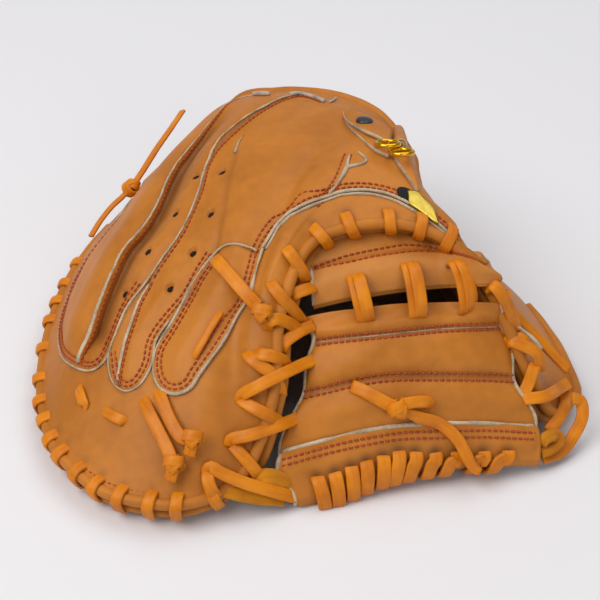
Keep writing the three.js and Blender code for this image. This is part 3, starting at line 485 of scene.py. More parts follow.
def grain_leather(name, light, deep, rough=0.5):
    """Full-grain cowhide, drum dyed and lightly oiled: a fine pebble of pores with a low soft
    sheen, and slow shifts of tone where the dye took more or less."""
    material, tree, shader = bare_material(name)
    place = add_node(tree, "ShaderNodeTexCoord").outputs["Object"]
    # Tone drifts over patches about 40 mm across, and over mottles about 5 mm across
    drift = add_node(tree, "ShaderNodeTexNoise", links={"Vector": place, "Scale": 25.0, "Detail": 3.0})
    mottle = add_node(tree, "ShaderNodeTexNoise", links={"Vector": place, "Scale": 200.0, "Detail": 4.0})
    both = add_node(tree, "ShaderNodeMath", {"operation": "MULTIPLY_ADD"},
                    {0: mottle.outputs["Fac"], 1: 0.35, 2: drift.outputs["Fac"]})
    tone = ramp(tree, both.outputs[0], [(0.5, deep), (0.85, light)])
    # Painted shade in folds, hems, seams and round holes, and painted light: the mesh says where, as shade
    # from -1 dark to 1 pale
    shade = add_node(tree, "ShaderNodeAttribute", {"attribute_name": "shade"})
    for full, most, code in ((-1.0, 0.85, "#5A3312"), (1.0, 0.5, "#E0A868")):
        share = add_node(tree, "ShaderNodeMapRange",
                         links={"Value": shade.outputs["Fac"], 1: 0.0, 2: full, 3: 0.0, 4: most})
        mix = add_node(tree, "ShaderNodeMix", {"data_type": "RGBA"},
                       {0: share.outputs[0], 6: tone, 7: srgb(code)})
        tone = mix.outputs[2]
    # Pores lie about 1 mm apart, a little coarser than real so that they show
    pores = add_node(tree, "ShaderNodeTexVoronoi", {"feature": "DISTANCE_TO_EDGE"},
                     {"Vector": place, "Scale": 1000.0 / PORE_SPACING})
    # Folds are about 11 mm across
    fold = add_node(tree, "ShaderNodeTexNoise", links={"Vector": place, "Scale": 90.0, "Detail": 5.0})
    height = add_node(tree, "ShaderNodeMath", {"operation": "MULTIPLY_ADD"},
                      {0: pores.outputs["Distance"], 1: 0.5, 2: fold.outputs["Fac"]})
    bump = add_node(tree, "ShaderNodeBump",
                    links={"Height": height.outputs[0], "Strength": 0.5, "Distance": GRAIN_DEPTH * MM})
    gloss = add_node(tree, "ShaderNodeMapRange",
                     links={"Value": mottle.outputs["Fac"], 3: rough - 0.07, 4: rough + 0.09})
    fill(shader, {"Base Color": tone, "Normal": bump.outputs[0], "Roughness": gloss.outputs[0], "IOR": 1.45,
                  "Specular IOR Level": 0.36, "Sheen Weight": 0.02, "Sheen Roughness": 0.5})
    return material


def rawhide(name, light, deep, rough, fuzz):
    """Lace leather, oiled and dyed yellow: long soft streaks along the lace. The grain side is
    smooth and waxy, and the flesh side is a short nap that catches the light."""
    material, tree, shader = bare_material(name)
    place = add_node(tree, "ShaderNodeTexCoord")
    # Streaks run along the lace, about 1 mm wide and 12 mm long, on its own length and girth
    stretch = add_node(tree, "ShaderNodeMapping",
                       links={"Vector": place.outputs["UV"], "Scale": (0.08, 14.0, 1.0)})
    streak = add_node(tree, "ShaderNodeTexNoise",
                      links={"Vector": stretch.outputs[0], "Scale": 1.0, "Detail": 3.0})
    # Its tone drifts over patches about 14 mm across
    drift = add_node(tree, "ShaderNodeTexNoise",
                     links={"Vector": place.outputs["Object"], "Scale": 70.0, "Detail": 3.0})
    both = add_node(tree, "ShaderNodeMath", {"operation": "MULTIPLY_ADD"},
                    {0: streak.outputs["Fac"], 1: 0.6, 2: drift.outputs["Fac"]})
    # The nap is about 0.5 mm, the wax marks about 2 mm
    scale, strength = (2200.0, 0.7) if fuzz else (500.0, 0.25)
    nap = add_node(tree, "ShaderNodeTexNoise",
                   links={"Vector": place.outputs["Object"], "Scale": scale, "Detail": 4.0})
    bump = add_node(tree, "ShaderNodeBump",
                    links={"Height": nap.outputs["Fac"], "Strength": strength, "Distance": 0.0004})
    fill(shader, {"Base Color": ramp(tree, both.outputs[0], [(0.55, deep), (1.0, light)]),
                  "Normal": bump.outputs[0], "Roughness": rough, "IOR": 1.45, "Specular IOR Level": 0.35})
    if fuzz:
        fill(shader, {"Sheen Weight": 0.15, "Sheen Roughness": 0.4})
    return material


def cut_edge(name, light, deep):
    """The raw cut edge of chrome-tanned leather: pale felted fibres, a little grey where handled."""
    material, tree, shader = bare_material(name)
    place = add_node(tree, "ShaderNodeTexCoord").outputs["Object"]
    # Fibre bundles about 0.7 mm wide, in patches about 8 mm long
    fibre = add_node(tree, "ShaderNodeTexNoise", links={"Vector": place, "Scale": 1400.0, "Detail": 3.0})
    patch = add_node(tree, "ShaderNodeTexNoise", links={"Vector": place, "Scale": 120.0, "Detail": 2.0})
    both = add_node(tree, "ShaderNodeMath", {"operation": "MULTIPLY_ADD"},
                    {0: fibre.outputs["Fac"], 1: 0.6, 2: patch.outputs["Fac"]})
    bump = add_node(tree, "ShaderNodeBump",
                    links={"Height": fibre.outputs["Fac"], "Strength": 0.8, "Distance": 0.0006})
    fill(shader, {"Base Color": ramp(tree, both.outputs[0], [(0.55, deep), (0.95, light)]),
                  "Normal": bump.outputs[0], "Roughness": 0.92, "Sheen Weight": 0.3})
    return material


def polyester_thread(name, light, deep):
    """Bonded polyester thread, rust red: a tight twist with a dull gloss."""
    material, tree, shader = bare_material(name)
    place = add_node(tree, "ShaderNodeTexCoord").outputs["Object"]
    # The twist repeats about every 0.8 mm
    twist = add_node(tree, "ShaderNodeTexNoise", links={"Vector": place, "Scale": 1200.0, "Detail": 1.0})
    fill(shader, {"Base Color": ramp(tree, twist.outputs["Fac"], [(0.35, deep), (0.65, light)]),
                  "Roughness": 0.6})
    return material


def plated_metal(name, light, deep, rough):
    """Brass plate on steel: warm, bright and a little scratched, so highlights break up."""
    material, tree, shader = bare_material(name)
    place = add_node(tree, "ShaderNodeTexCoord").outputs["Object"]
    # Handling marks about 2 mm across
    marks = add_node(tree, "ShaderNodeTexNoise", links={"Vector": place, "Scale": 500.0, "Detail": 2.0})
    gloss = add_node(tree, "ShaderNodeMapRange",
                     links={"Value": marks.outputs["Fac"], 3: rough - 0.08, 4: rough + 0.1})
    fill(shader, {"Base Color": ramp(tree, marks.outputs["Fac"], [(0.3, deep), (0.75, light)]),
                  "Roughness": gloss.outputs[0], "Metallic": 1.0})
    return material


def dull_black(name, color, rough):
    """Black lacquer, woven black backing, or the painted shadow inside a hole: nearly no colour, with a faint
    uneven gloss.
    """
    material, tree, shader = bare_material(name)
    place = add_node(tree, "ShaderNodeTexCoord").outputs["Object"]
    # Specks about 1 mm across
    specks = add_node(tree, "ShaderNodeTexNoise", links={"Vector": place, "Scale": 1000.0, "Detail": 2.0})
    fill(shader, {"Base Color": ramp(tree, specks.outputs["Fac"], [(0.3, "#0D0D0E"), (0.8, color)]),
                  "Roughness": rough})
    return material


TAN = grain_leather("tan_cowhide", "#C27723", "#AD6718")
TAN_PALM = grain_leather("tan_palm_cowhide", "#B06A20", "#9A5A18", rough=0.55)
LINING = grain_leather("lining_cowhide", "#B98B5C", "#9C7246", rough=0.75)
LACE = rawhide("lace_rawhide_grain", "#DE8508", "#BE6603", 0.45, False)
NAP = rawhide("lace_rawhide_flesh", "#CE8312", "#A65F08", 0.9, True)
RAW = cut_edge("raw_cut_edge", "#C9B698", "#8C785D")
GREY_RAW = cut_edge("handled_cut_edge", "#C2B5A5", "#857768")
THREAD = polyester_thread("rust_thread", "#B5481A", "#8E310E")
BRASS = plated_metal("brass_plate", "#F2C22E", "#D9A41C", 0.22)
PLATE = plated_metal("dull_brass_label", "#CDB65A", "#B39A3C", 0.38)
SNAP = dull_black("snap_lacquer", "#3A3D42", 0.35)
BACKING = dull_black("label_backing_cloth", "#1A1918", 0.9)
HOLE = dull_black("hole_shadow", "#16100B", 1.0)


# Lines on the back, read in the photograph's 600-pixel frame

little_stall = back_view.line([
    (134, 200), (118, 222), (87, 260), (67, 300), (59, 332), (62, 355), (75, 367), (90, 371),
    (105, 362), (116, 340), (130, 312), (145, 290), (155, 277), (180, 242), (192, 220), (203, 195),
    (209, 175), (217, 160), (228, 147), (245, 131), (270, 112), (285, 104), (300, 99), (312, 101),
    (322, 106)])
ring_stall = back_view.line([
    (145, 290), (130, 312), (119, 335), (110, 357), (112, 380), (125, 391), (140, 385), (152, 365),
    (157, 342), (170, 322), (190, 298), (203, 275), (214, 258)])
index_stall = back_view.line([
    (214, 258), (200, 277), (185, 303), (170, 328), (158, 347), (154, 364), (156, 380), (164, 391),
    (178, 394), (192, 387), (202, 372), (220, 347), (236, 319), (249, 297), (256, 272), (263, 249),
    (280, 227), (300, 211), (323, 199), (341, 193), (366, 192), (387, 196), (406, 204), (429, 219),
    (452, 238)])
little_ridge = back_view.line([
    (268, 95), (255, 96), (237, 103), (220, 117), (202, 135), (185, 155), (172, 175), (162, 197),
    (152, 217), (140, 235), (127, 252), (115, 275), (105, 297), (97, 317), (90, 337), (83, 354), (80, 364)])
ring_ridge = back_view.line([(150, 285), (141, 303), (134, 325), (126, 350), (120, 370), (117, 384)])
slit = back_view.line([(244, 141), (240, 148), (237, 156)])
dart = back_view.line([(214, 257), (221, 240), (226, 215), (228, 195), (233, 172), (238, 157)])
round_cut = back_view.line([(213, 260), (219, 253), (230, 248), (244, 248), (257, 252)])
palm_seam = back_view.line([(316, 204), (326, 196), (336, 184), (343, 172), (348, 161)])
vents = back_view.line([(198, 181), (178, 217), (151, 255), (127, 295),
                        (224, 176), (213, 217), (194, 255), (171, 290)])


# The relief of the back: how far its leather stands above the plain surface

RELIEF_U = np.linspace(0, SECTIONS, 601)
RELIEF_V = np.linspace(0, 1, 301)
# In millimetres: the stalls' overlaid leather, the fold beside the little finger's ridge, the
# punched vents, and the fall of the back beyond the strap
STALL_STEP = 1.3
FOLD_DEEP = 7.0
VENT_DEPTH = 2.4
THUMB_FALL = 6.0


def inside(polygon, a, b):
    """Which places (a, b) lie inside a polygon."""
    found = np.zeros(a.shape, bool)
    for (x0, y0), (x1, y1) in zip(polygon, np.roll(polygon, -1, axis=0)):
        crosses = (y0 > b) != (y1 > b)
        with np.errstate(divide="ignore", invalid="ignore"):
            found ^= crosses & (a < (x1 - x0) * (b - y0) / (y1 - y0) + x0)
    return found


def away_from(line_uv, places, reach):
    """How far each place is from a line on the back, in millimetres, up to reach."""
    line = resample(back(*line_uv.T), 1.0)
    far = np.full(places.shape[:2], reach)
    for point in line:
        near = np.abs(places[..., 0] - point[0]) < reach
        near &= np.abs(places[..., 1] - point[1]) < reach
        if near.any():
            far[near] = np.minimum(far[near], np.linalg.norm(places[near] - point, axis=-1))
    return far


def across_ridge(line_uv, u, v):
    """How far u is past a line that runs down the mitt, counted in sections."""
    order = np.argsort(line_uv[:, 1])
    return u - np.interp(v, line_uv[order, 1], line_uv[order, 0])


def make_relief():
    """The height of the back's relief and its shade, each over a grid of the whole back."""
    u, v = np.meshgrid(RELIEF_U, RELIEF_V, indexing="ij")
    places = back(u, v)
    height = np.zeros(u.shape)
    shade = np.zeros(u.shape)
    wrist_little = np.array([[3.6, -0.02], [0.75, -0.02]])
    wrist_index = np.array([[11.2, -0.02], [3.4, -0.02]])
    top = np.array([[3.75, 0.142], [3.0, 0.283], [3.07, 0.4]])
    little = np.vstack([little_stall, wrist_little])
    index = np.vstack([index_stall, [[11.2, 0.97]], wrist_index, top, dart[::-1]])
    ring = np.vstack([ring_stall, dart, top[::-1], little_stall[13:18][::-1]])
    swell = np.zeros(u.shape)
    for polygon, line in ((little, little_stall), (ring, ring_stall), (index, index_stall)):
        far = away_from(line, places, 16.0)
        within = inside(polygon, u, v)
        signed = np.where(within, far, -far)
        height += STALL_STEP * between(signed, -0.3, 0.5) * (within | (far < 1.0))
        swell = np.maximum(swell, between(signed, 3.0, 16.0))
        # The leather is drawn down along the stitching, and shaded under the raw edge
        height -= 0.5 * np.exp(-((signed - 2.6) / 1.6)**2)
        shade -= 0.45 * np.exp(-((signed + 0.9) / 1.0)**2)
    # The padded stalls swell from their sewn edges
    height += 1.6 * swell
    # The little finger's ridge stands in a fold that is deep on its right side
    far = away_from(little_ridge, places, 30.0)
    right = between(across_ridge(little_ridge, u, v), -0.06, 0.06)
    amount = between(v, 0.08, 0.3) * (1 - between(v, 0.76, 0.84))
    left = 1 - right
    height -= amount * (right * FOLD_DEEP * np.exp(-(far / 10.0)**2) + left * 1.6 * np.exp(-(far / 5.0)**2))
    height += amount * (right * 2.6 * np.exp(-((far - 21) / 6.5)**2)
                        + left * 1.0 * np.exp(-((far - 14) / 7.0)**2))
    # Painted shade darkens the fold, most on the ridge's right side
    shade -= amount * (right * 0.5 * np.exp(-(far / 4.0)**2) + left * 0.2 * np.exp(-(far / 2.0)**2))
    shade -= amount * right * 0.6 * np.exp(-((far - 6) / 7.0)**2)
    far = away_from(ring_ridge, places, 12.0)
    height -= 0.9 * np.exp(-(far / 3.0)**2)
    for line, deep, wide in ((dart, 0.9, 2.2), (slit, 1.2, 1.2), (round_cut, 0.6, 2.0)):
        far = away_from(line, places, 10.0)
        height -= deep * np.exp(-(far / wide)**2)
        # Painted shade along each dart, slit and round cut
        shade -= 0.25 * np.exp(-(far / wide)**2)
    # Round vents are punched through the stalls
    for a, b in vents:
        far = np.linalg.norm(places - back(a, b), axis=-1)
        height -= VENT_DEPTH * (1 - between(far, 1.7, 2.7))
        height += 0.25 * np.exp(-((far - 3.0) / 1.0)**2)
    # Slow dents over the hand, where the leather has taken the shape of fingers and knuckles
    dents = 0.7 * np.sin(u * 2.1 + 1.0) * np.sin(v * 7.0 + 0.4)
    height += dents * between(v, 0.05, 0.2) * (1 - between(v, 0.75, 0.95))
    # Past the strap the back falls away to the thumb more sharply
    height -= THUMB_FALL * between(u, 9.7, 10.8) * (1 - between(u, 12.4, 13.6)) * (1 - between(v, 0.5, 0.85))
    edge = between(v, 0.0, 0.12) * (1 - between(v, 0.9, 1.0))
    return height * edge, np.clip(shade, -1, 1)


relief, relief_shade = make_relief()


def raised(u, v):
    """The relief's height at places on the back."""
    i = np.clip(np.asarray(u, float) / SECTIONS * (len(RELIEF_U) - 1), 0, len(RELIEF_U) - 1.001)
    j = np.clip(np.asarray(v, float) * (len(RELIEF_V) - 1), 0, len(RELIEF_V) - 1.001)
    a, b = i.astype(int), j.astype(int)
    f, g = i - a, j - b
    return ((relief[a, b] * (1 - f) + relief[a + 1, b] * f) * (1 - g)
            + (relief[a, b + 1] * (1 - f) + relief[a + 1, b + 1] * f) * g)


def on_back(u, v, height=0.0):
    """A place on the back's leather, or at a height over it."""
    u, v = np.asarray(u, float), np.asarray(v, float)
    return back(u, v) + back_out(u, v) * (raised(u, v) + height)[..., None]


def on_palm(u, v, height):
    return palm(u, v) + palm_out(u, v) * height[..., None]


# How far the web's upper right corner leans towards the viewer, in millimetres
WEB_LEAN = 20


def on_web(across, row, height):
    """A place on the web. Its right end stands forward at the top, over the thumb's rolled edge."""
    across, row, height = (np.asarray(value, float) for value in np.broadcast_arrays(across, row, height))
    forward = WEB_LEAN * between(across, 0.7, 0.98) * (1 - between(row, 2.4, 4.6))
    return web(across, row) + web_out(across, row) * height[..., None] - AHEAD * forward[..., None]


# The leather body

RIM_MARGIN = 0.4


def make_back_leather():
    """The outer leather of the back, from wrist to rim."""
    u = np.linspace(0.05, SECTIONS - 0.05, 430)
    v = np.linspace(0, 1, 221)
    uu, vv = np.meshgrid(u, v, indexing="ij")
    rim = np.linalg.norm(back(u, np.full_like(u, 0.98)) - back(u, np.ones_like(u)), axis=-1) / 0.02
    vv = vv * (1 - RIM_MARGIN / rim)[:, None]
    points = on_back(uu, vv)
    i = np.clip(np.round(uu / SECTIONS * (len(RELIEF_U) - 1)).astype(int), 0, len(RELIEF_U) - 1)
    j = np.clip(np.round(vv * (len(RELIEF_V) - 1)).astype(int), 0, len(RELIEF_V) - 1)
    shade = relief_shade[i, j]
    # Painted shade darkens the leather round each lace hole in the back
    for r in RIM_LOOPS + CROTCH_LOOPS:
        here, _, _, out = rim_frame(r)
        hole = here - out * (RIM_HOLE if r < 8 else CROTCH_HOLE)
        shade = shade - 0.8 * np.exp(-(np.linalg.norm(points - hole, axis=-1) / 2.6)**2)
    mesh_piece("back_leather", points.reshape(-1, 3), grid_faces(*uu.shape).tolist(), [TAN], "tan_leather",
               "back_shell", "hand_back_panel", "stall_little", "stall_middle", shades=np.clip(shade, -1, 1))
    # The lining follows the leather on a coarser grid, and is pressed in where it is
    uu, vv = uu[::3, ::3], vv[::3, ::3]
    under = LEATHER - np.minimum(raised(uu, vv), 0)
    lining = back(uu, vv) - back_out(uu, vv) * under[..., None]
    mesh_piece("back_lining", lining.reshape(-1, 3), grid_faces(*uu.shape, flip=True).tolist(), [LINING],
               "tan_leather")


# The palm's thickness in millimetres
PAD_HEEL = 19
PAD_MIDDLE = 15
PAD_RIM = 9
PAD_LEAST = 5


def pad_depth(u, v):
    """How thick the padding is: most at the heel, and least at every rim and beside the crotch."""
    side = np.clip(np.minimum(u, SECTIONS - u) / 1.6, 0, 1)
    leg = 1 - np.clip(np.abs(u - 7.8) / 2, 0, 1)
    rim = PAD_RIM + (PAD_LEAST - PAD_RIM) * leg
    heel = PAD_HEEL + (PAD_MIDDLE - PAD_HEEL) * v / 0.25
    length = np.where(v < 0.25, heel, PAD_MIDDLE + (rim - PAD_MIDDLE) * np.clip((v - 0.5) / 0.35, 0, 1))
    return PAD_LEAST + (length - PAD_LEAST) * side


def make_palm_pad():
    """The padded palm: the hand side above, the ball pocket below, and a rounded heel."""
    u = np.linspace(0, SECTIONS, 231)
    v = np.linspace(0, 1, 121)
    uu, vv = np.meshgrid(u, v, indexing="ij")
    rim = np.linalg.norm(palm(u, np.full_like(u, 0.98)) - palm(u, np.ones_like(u)), axis=-1) / 0.02
    vv = vv * (1 - RIM_MARGIN / rim)[:, None]
    depth = pad_depth(uu, vv)
    # The heel and the rims are rounded over, and the pocket is worked soft, with long creases
    end = np.minimum(between(vv, 0, 0.05), 1 - between(vv, 0.97, 1.0))
    round_off = 0.5 * depth * (1 - np.sqrt(1 - (1 - np.clip(vv / 0.06, 0, 1))**2)) * 0.9
    crease = 1.1 * np.exp(-(((uu - 7.6 + 2.2 * (vv - 0.4)) / 0.3)**2)) * between(vv, 0.25, 0.6)
    crease += 0.7 * np.exp(-(((uu - 4.6) / 0.22)**2)) * between(vv, 0.2, 0.5)
    crease += 0.6 * np.exp(-(((uu - 10.4) / 0.25)**2)) * between(vv, 0.15, 0.4) * (1 - between(vv, 0.7, 0.9))
    soft = 0.5 * np.sin(uu * 3.3 + 4 * vv) * np.sin(vv * 17 + uu) * end
    outer = on_palm(uu, vv, -round_off * 0.4)
    inner = on_palm(uu, vv, -depth + round_off + crease + soft)
    for points in (outer, inner):
        points[..., 2] = np.maximum(points[..., 2], 0.15)
    # Painted shade in the long creases and towards the rounded heel and rims
    shade = -0.35 * np.clip(crease, 0, 1) - 0.15 * (1 - end)
    piece = closed_sheet("palm_leather", outer, inner, [TAN_PALM, TAN_PALM], "tan_leather", "palm_pad",
                         edge_slot=0, shades=shade)


# Lines laid on the back

def smooth_line(line_uv, spacing=1.4):
    """A line on the back made even, from a few places on it."""
    fine = finely(line_uv)
    run = run_of(back(*fine.T))
    at = np.linspace(0, run[-1], max(2, int(run[-1] / spacing)) + 1)
    return np.stack([np.interp(at, run, values) for values in fine.T], axis=1)


def beside(line_uv, distance):
    """A line on the back moved sideways, by a distance in millimetres to the left of its way."""
    a, b = line_uv.T
    side = np.cross(back_out(a, b), unit(np.gradient(back(a, b), axis=0))) * distance
    a_step, b_step = 0.02, 0.002
    along_a = (back(a + a_step, b) - back(a - a_step, b)) / (2 * a_step)
    along_b = (back(a, b + b_step) - back(a, b - b_step)) / (2 * b_step)
    aa, ab, bb = (along_a * along_a).sum(-1), (along_a * along_b).sum(-1), (along_b * along_b).sum(-1)
    sa, sb = (side * along_a).sum(-1), (side * along_b).sum(-1)
    scale = aa * bb - ab * ab + 1e-9
    return line_uv + np.stack([(sa * bb - sb * ab) / scale, (sb * aa - sa * ab) / scale], axis=1)


STITCH_PITCH = 2.9
STITCH_LONG = 2.3
STITCH_THICK = 0.95
STITCH_SIDES = 6


def stitches_into(bundle, centre, outs, thick=STITCH_THICK):
    """A row of stitches along a line: each is a short fat thread that dips in at both ends."""
    # The ways out are made so small that they don't count in the line's length
    joined = resample(np.hstack([centre, outs * 0.001]), STITCH_PITCH)
    places, ups = joined[:, :3], unit(joined[:, 3:])
    if len(places) < 3:
        return
    side, up = framed(places, ups)
    ahead = np.cross(side, up)
    steps = np.array([-0.5, -0.38, 0.0, 0.38, 0.5]) * STITCH_LONG
    girth = np.array([0.35, 0.85, 1.0, 0.85, 0.35]) * thick / 2
    lift = np.array([-0.35, 0.05, 0.2, 0.05, -0.35])
    angle = np.linspace(0, 2 * math.pi, STITCH_SIDES, endpoint=False)
    shape = np.array([(along, g * math.cos(turn), g * math.sin(turn) + rise)
                      for along, g, rise in zip(steps, girth, lift) for turn in angle])
    faces = grid_faces(len(steps), STITCH_SIDES + 1)
    index = np.arange(len(shape)).reshape(len(steps), STITCH_SIDES)
    wrapped = np.hstack([index, index[:, :1]]).ravel()
    faces = wrapped[faces].tolist() + [index[0, ::-1].tolist(), index[-1].tolist()]
    corners = sum(len(face) for face in faces)
    turn = rng.uniform(-0.12, 0.12, len(places))
    for k, place in enumerate(places):
        a = unit(ahead[k] + side[k] * turn[k])
        s = np.cross(up[k], a)
        points = place + shape[:, :1] * a + shape[:, 1:2] * s + shape[:, 2:] * up[k]
        bundle.add(points, faces, np.zeros((corners, 2)), np.zeros(len(faces), int))


def edge_into(bundle, centre, radius, wrinkle):
    """The raw cut edge of a piece of leather, seen as a thin pale line that is never quite even."""
    roll_into(bundle, centre, radius, sides=8, wrinkle=wrinkle)


def back_line(line_uv, height):
    """A line that rests on the back, passing smoothly over the steps of its relief."""
    lift = raised(*line_uv.T)
    count = min(11, len(lift) // 2 * 2 - 1)
    if count > 2:
        lift = np.convolve(np.pad(lift, count // 2, mode="edge"), np.ones(count) / count, mode="valid")
    return back(*line_uv.T) + back_out(*line_uv.T) * (lift + height)[:, None]


def make_stall_seams():
    """The raw edges of the overlaid stalls, and the stitching that holds them down."""
    edges, thread = Bundle(), Bundle()

    def cut_along(line_uv, height, radius, wrinkle=0.5):
        edge_into(edges, back_line(line_uv, height), radius, wrinkle)

    def sewn(line_uv, *distances, height=0.25):
        for distance in distances:
            row = beside(line_uv, distance)
            stitches_into(thread, back_line(row, height), back_out(*row.T))

    cut_along(smooth_line(little_stall), 0.4, 0.55)
    sewn(smooth_line(little_stall[1:12]), 2.0, 4.2)
    sewn(smooth_line(little_stall[12:]), -2.0)
    cut_along(smooth_line(ring_stall[1:10]), 0.4, 0.62)
    sewn(smooth_line(ring_stall[3:]), 2.0, 4.2)
    cut_along(smooth_line(index_stall[:16]), 0.4, 0.72)
    sewn(smooth_line(index_stall), 2.1, 4.3)
    crotch = smooth_line(index_stall[15:])
    cut_along(crotch, 0.7, 0.72, 0.25)
    cut_along(beside(crotch, -1.4), 0.3, 0.72, 0.25)
    cut_along(smooth_line(slit, 1.0), 0.3, 0.6)
    cut_along(smooth_line(round_cut, 1.0), 0.7, 0.55)
    # The seam over the palm side of the hand, opened out flat with a row of stitches each side
    sewn(smooth_line(palm_seam, 1.0), -1.5, 1.5, height=0.2)
    for pixels, height, radius in (
            ([(350, 161), (346, 173), (337, 186), (329, 195)], 0.3, 0.8),
            ([(346, 172), (355, 170), (363, 168), (365, 164), (358, 158)], 0.4, 0.75)):
        cut_along(smooth_line(back_view.line(pixels), 1.0), height, radius)
    edges.piece("stall_raw_edges", [RAW], "raw_edge", "crotch_welt")
    thread.piece("stall_stitches", [THREAD], "rawhide_lace")


def flange_into(bundle, line_uv, heights, widths, lean):
    """Two thicknesses of leather sewn together and left standing: tan sides and a pale cut top.
    It gives back the row where its side is sewn, and the way that the row faces."""
    centre = back_line(line_uv, -0.8)
    out = back_out(*line_uv.T)
    ahead = unit(np.gradient(centre, axis=0))
    side = unit(np.cross(ahead, out))
    rise = unit(out * math.cos(lean) - side * math.sin(lean))
    side = unit(np.cross(ahead, rise))
    share = np.linspace(0, 1, len(centre))
    tall = np.interp(share, np.linspace(0, 1, len(heights)), heights)
    w = np.interp(share, np.linspace(0, 1, len(widths)), widths) / 2
    ragged = rng.normal(size=(len(centre), 2)) * 0.08
    # Each point of the section: its share of the width, its fixed height and its share of the height
    profile = [(-1.25, -1.5, 0), (-1.1, 0, 0.4), (-1.0, 0, 0.9), (-0.7, 0, 1.0), (0, -0.15, 1.0),
               (0.7, 0, 1.0), (1.0, 0, 0.9), (1.1, 0, 0.4), (1.25, -1.5, 0)]
    section = np.zeros((len(centre), len(profile), 2))
    for k, (x, fixed, part) in enumerate(profile):
        cut_top = part >= 0.9
        section[:, k, 0] = x * w + cut_top * ragged[:, k % 2]
        section[:, k, 1] = fixed + part * tall + cut_top * ragged[:, (k + 1) % 2]
    bundle.sweep(centre, section[:, ::-1], side, rise, [0, 1, 1, 1, 1, 1, 0, 0, 0], end_slot=1)
    return centre - side * (w * 1.15 + 0.1)[:, None] + rise * (tall * 0.45)[:, None], -side


RIDGE_LEAN = math.radians(8)


def make_ridges():
    """The seams that stand up over the little finger's and the ring finger's stalls."""
    thread = Bundle()
    for name, node, places, lean, heights, widths in (
            ("little_finger_ridge", "ridge_little", little_ridge, RIDGE_LEAN,
             (0.8, 1.6, 2.6, 3.4, 4.0, 4.4, 4.6, 4.6, 4.2, 2.6),
             (0.8, 0.8, 0.9, 0.9, 1.0, 1.0, 1.1, 1.5, 2.1, 2.2)),
            ("ring_finger_ridge", "ridge_middle", ring_ridge, RIDGE_LEAN / 2,
             (0.9, 1.4, 1.8, 2.0, 1.8, 1.2), (1.2, 1.4, 1.5, 1.5, 1.3))):
        ridge = Bundle()
        line = smooth_line(places, 1.0)
        row, ways = flange_into(ridge, line, heights, widths, lean)
        ridge.piece(name, [TAN, RAW], "tan_leather", node)
        # The tall ridge is sewn through its side, and the low one beside it
        if node == "ridge_middle":
            row_uv = beside(line, 2.0)
            row, ways = back_line(row_uv, 0.3), back_out(*row_uv.T)
        stitches_into(thread, row, ways)
    thread.piece("ridge_stitches", [THREAD], "rawhide_lace")


def make_vents():
    """Punched air holes, each filled with a short dark tube of painted shadow."""
    holes = Bundle()
    for a, b in vents:
        out = back_out(a, b)
        depths = np.linspace(-1.9, -0.9, 3) + max(0.0, float(raised(a, b)) + 1.6)
        roll_into(holes, back(a, b) + out * depths[:, None], [2.3, 2.3, 2.1], sides=16, up=(0.3, 0.9, 0.1))
    holes.piece("vent_holes", [HOLE], "black_trim")


# Rolled edges

# Places along the rim count up the little-finger side to 1, along the sections, and on down the
# thumb side to the end
RIM_END = SECTIONS + 2
FINGER_BULGE = 1.8


def rim_place(r):
    """Where on the back or the palm a place along the rim lies."""
    r = np.asarray(r, float)
    u = np.where(r < 1, 0, np.where(r > SECTIONS + 1, SECTIONS, r - 1))
    v = np.where(r < 1, r, np.where(r > SECTIONS + 1, RIM_END - r, 1))
    return u, v


def rim_frame(r):
    """The rim at places along it: its back edge, its palm edge, the way across and the way out."""
    r = np.clip(np.asarray(r, float), 0, RIM_END)
    here, under = back(*rim_place(r)), palm(*rim_place(r))
    after, before = (back(*rim_place(np.clip(r + step, 0, RIM_END))) for step in (0.06, -0.06))
    across = unit(here - under)
    out = unit(np.cross(after - before, across))
    # Up the finger side the leather bulges past its rolled edge
    tucked = out * (FINGER_BULGE * (1 - between(r, 2.2, 4.0)))[..., None]
    return here - tucked, under - tucked, across, out


def rim_line(low, high, outwards, upwards, palm_side=False):
    """A line that follows the rim's back edge or its palm edge, moved outwards and upwards."""
    here, under, across, out = rim_frame(np.linspace(low, high, int((high - low) * 14)))
    return (under if palm_side else here) + out * outwards + across * upwards


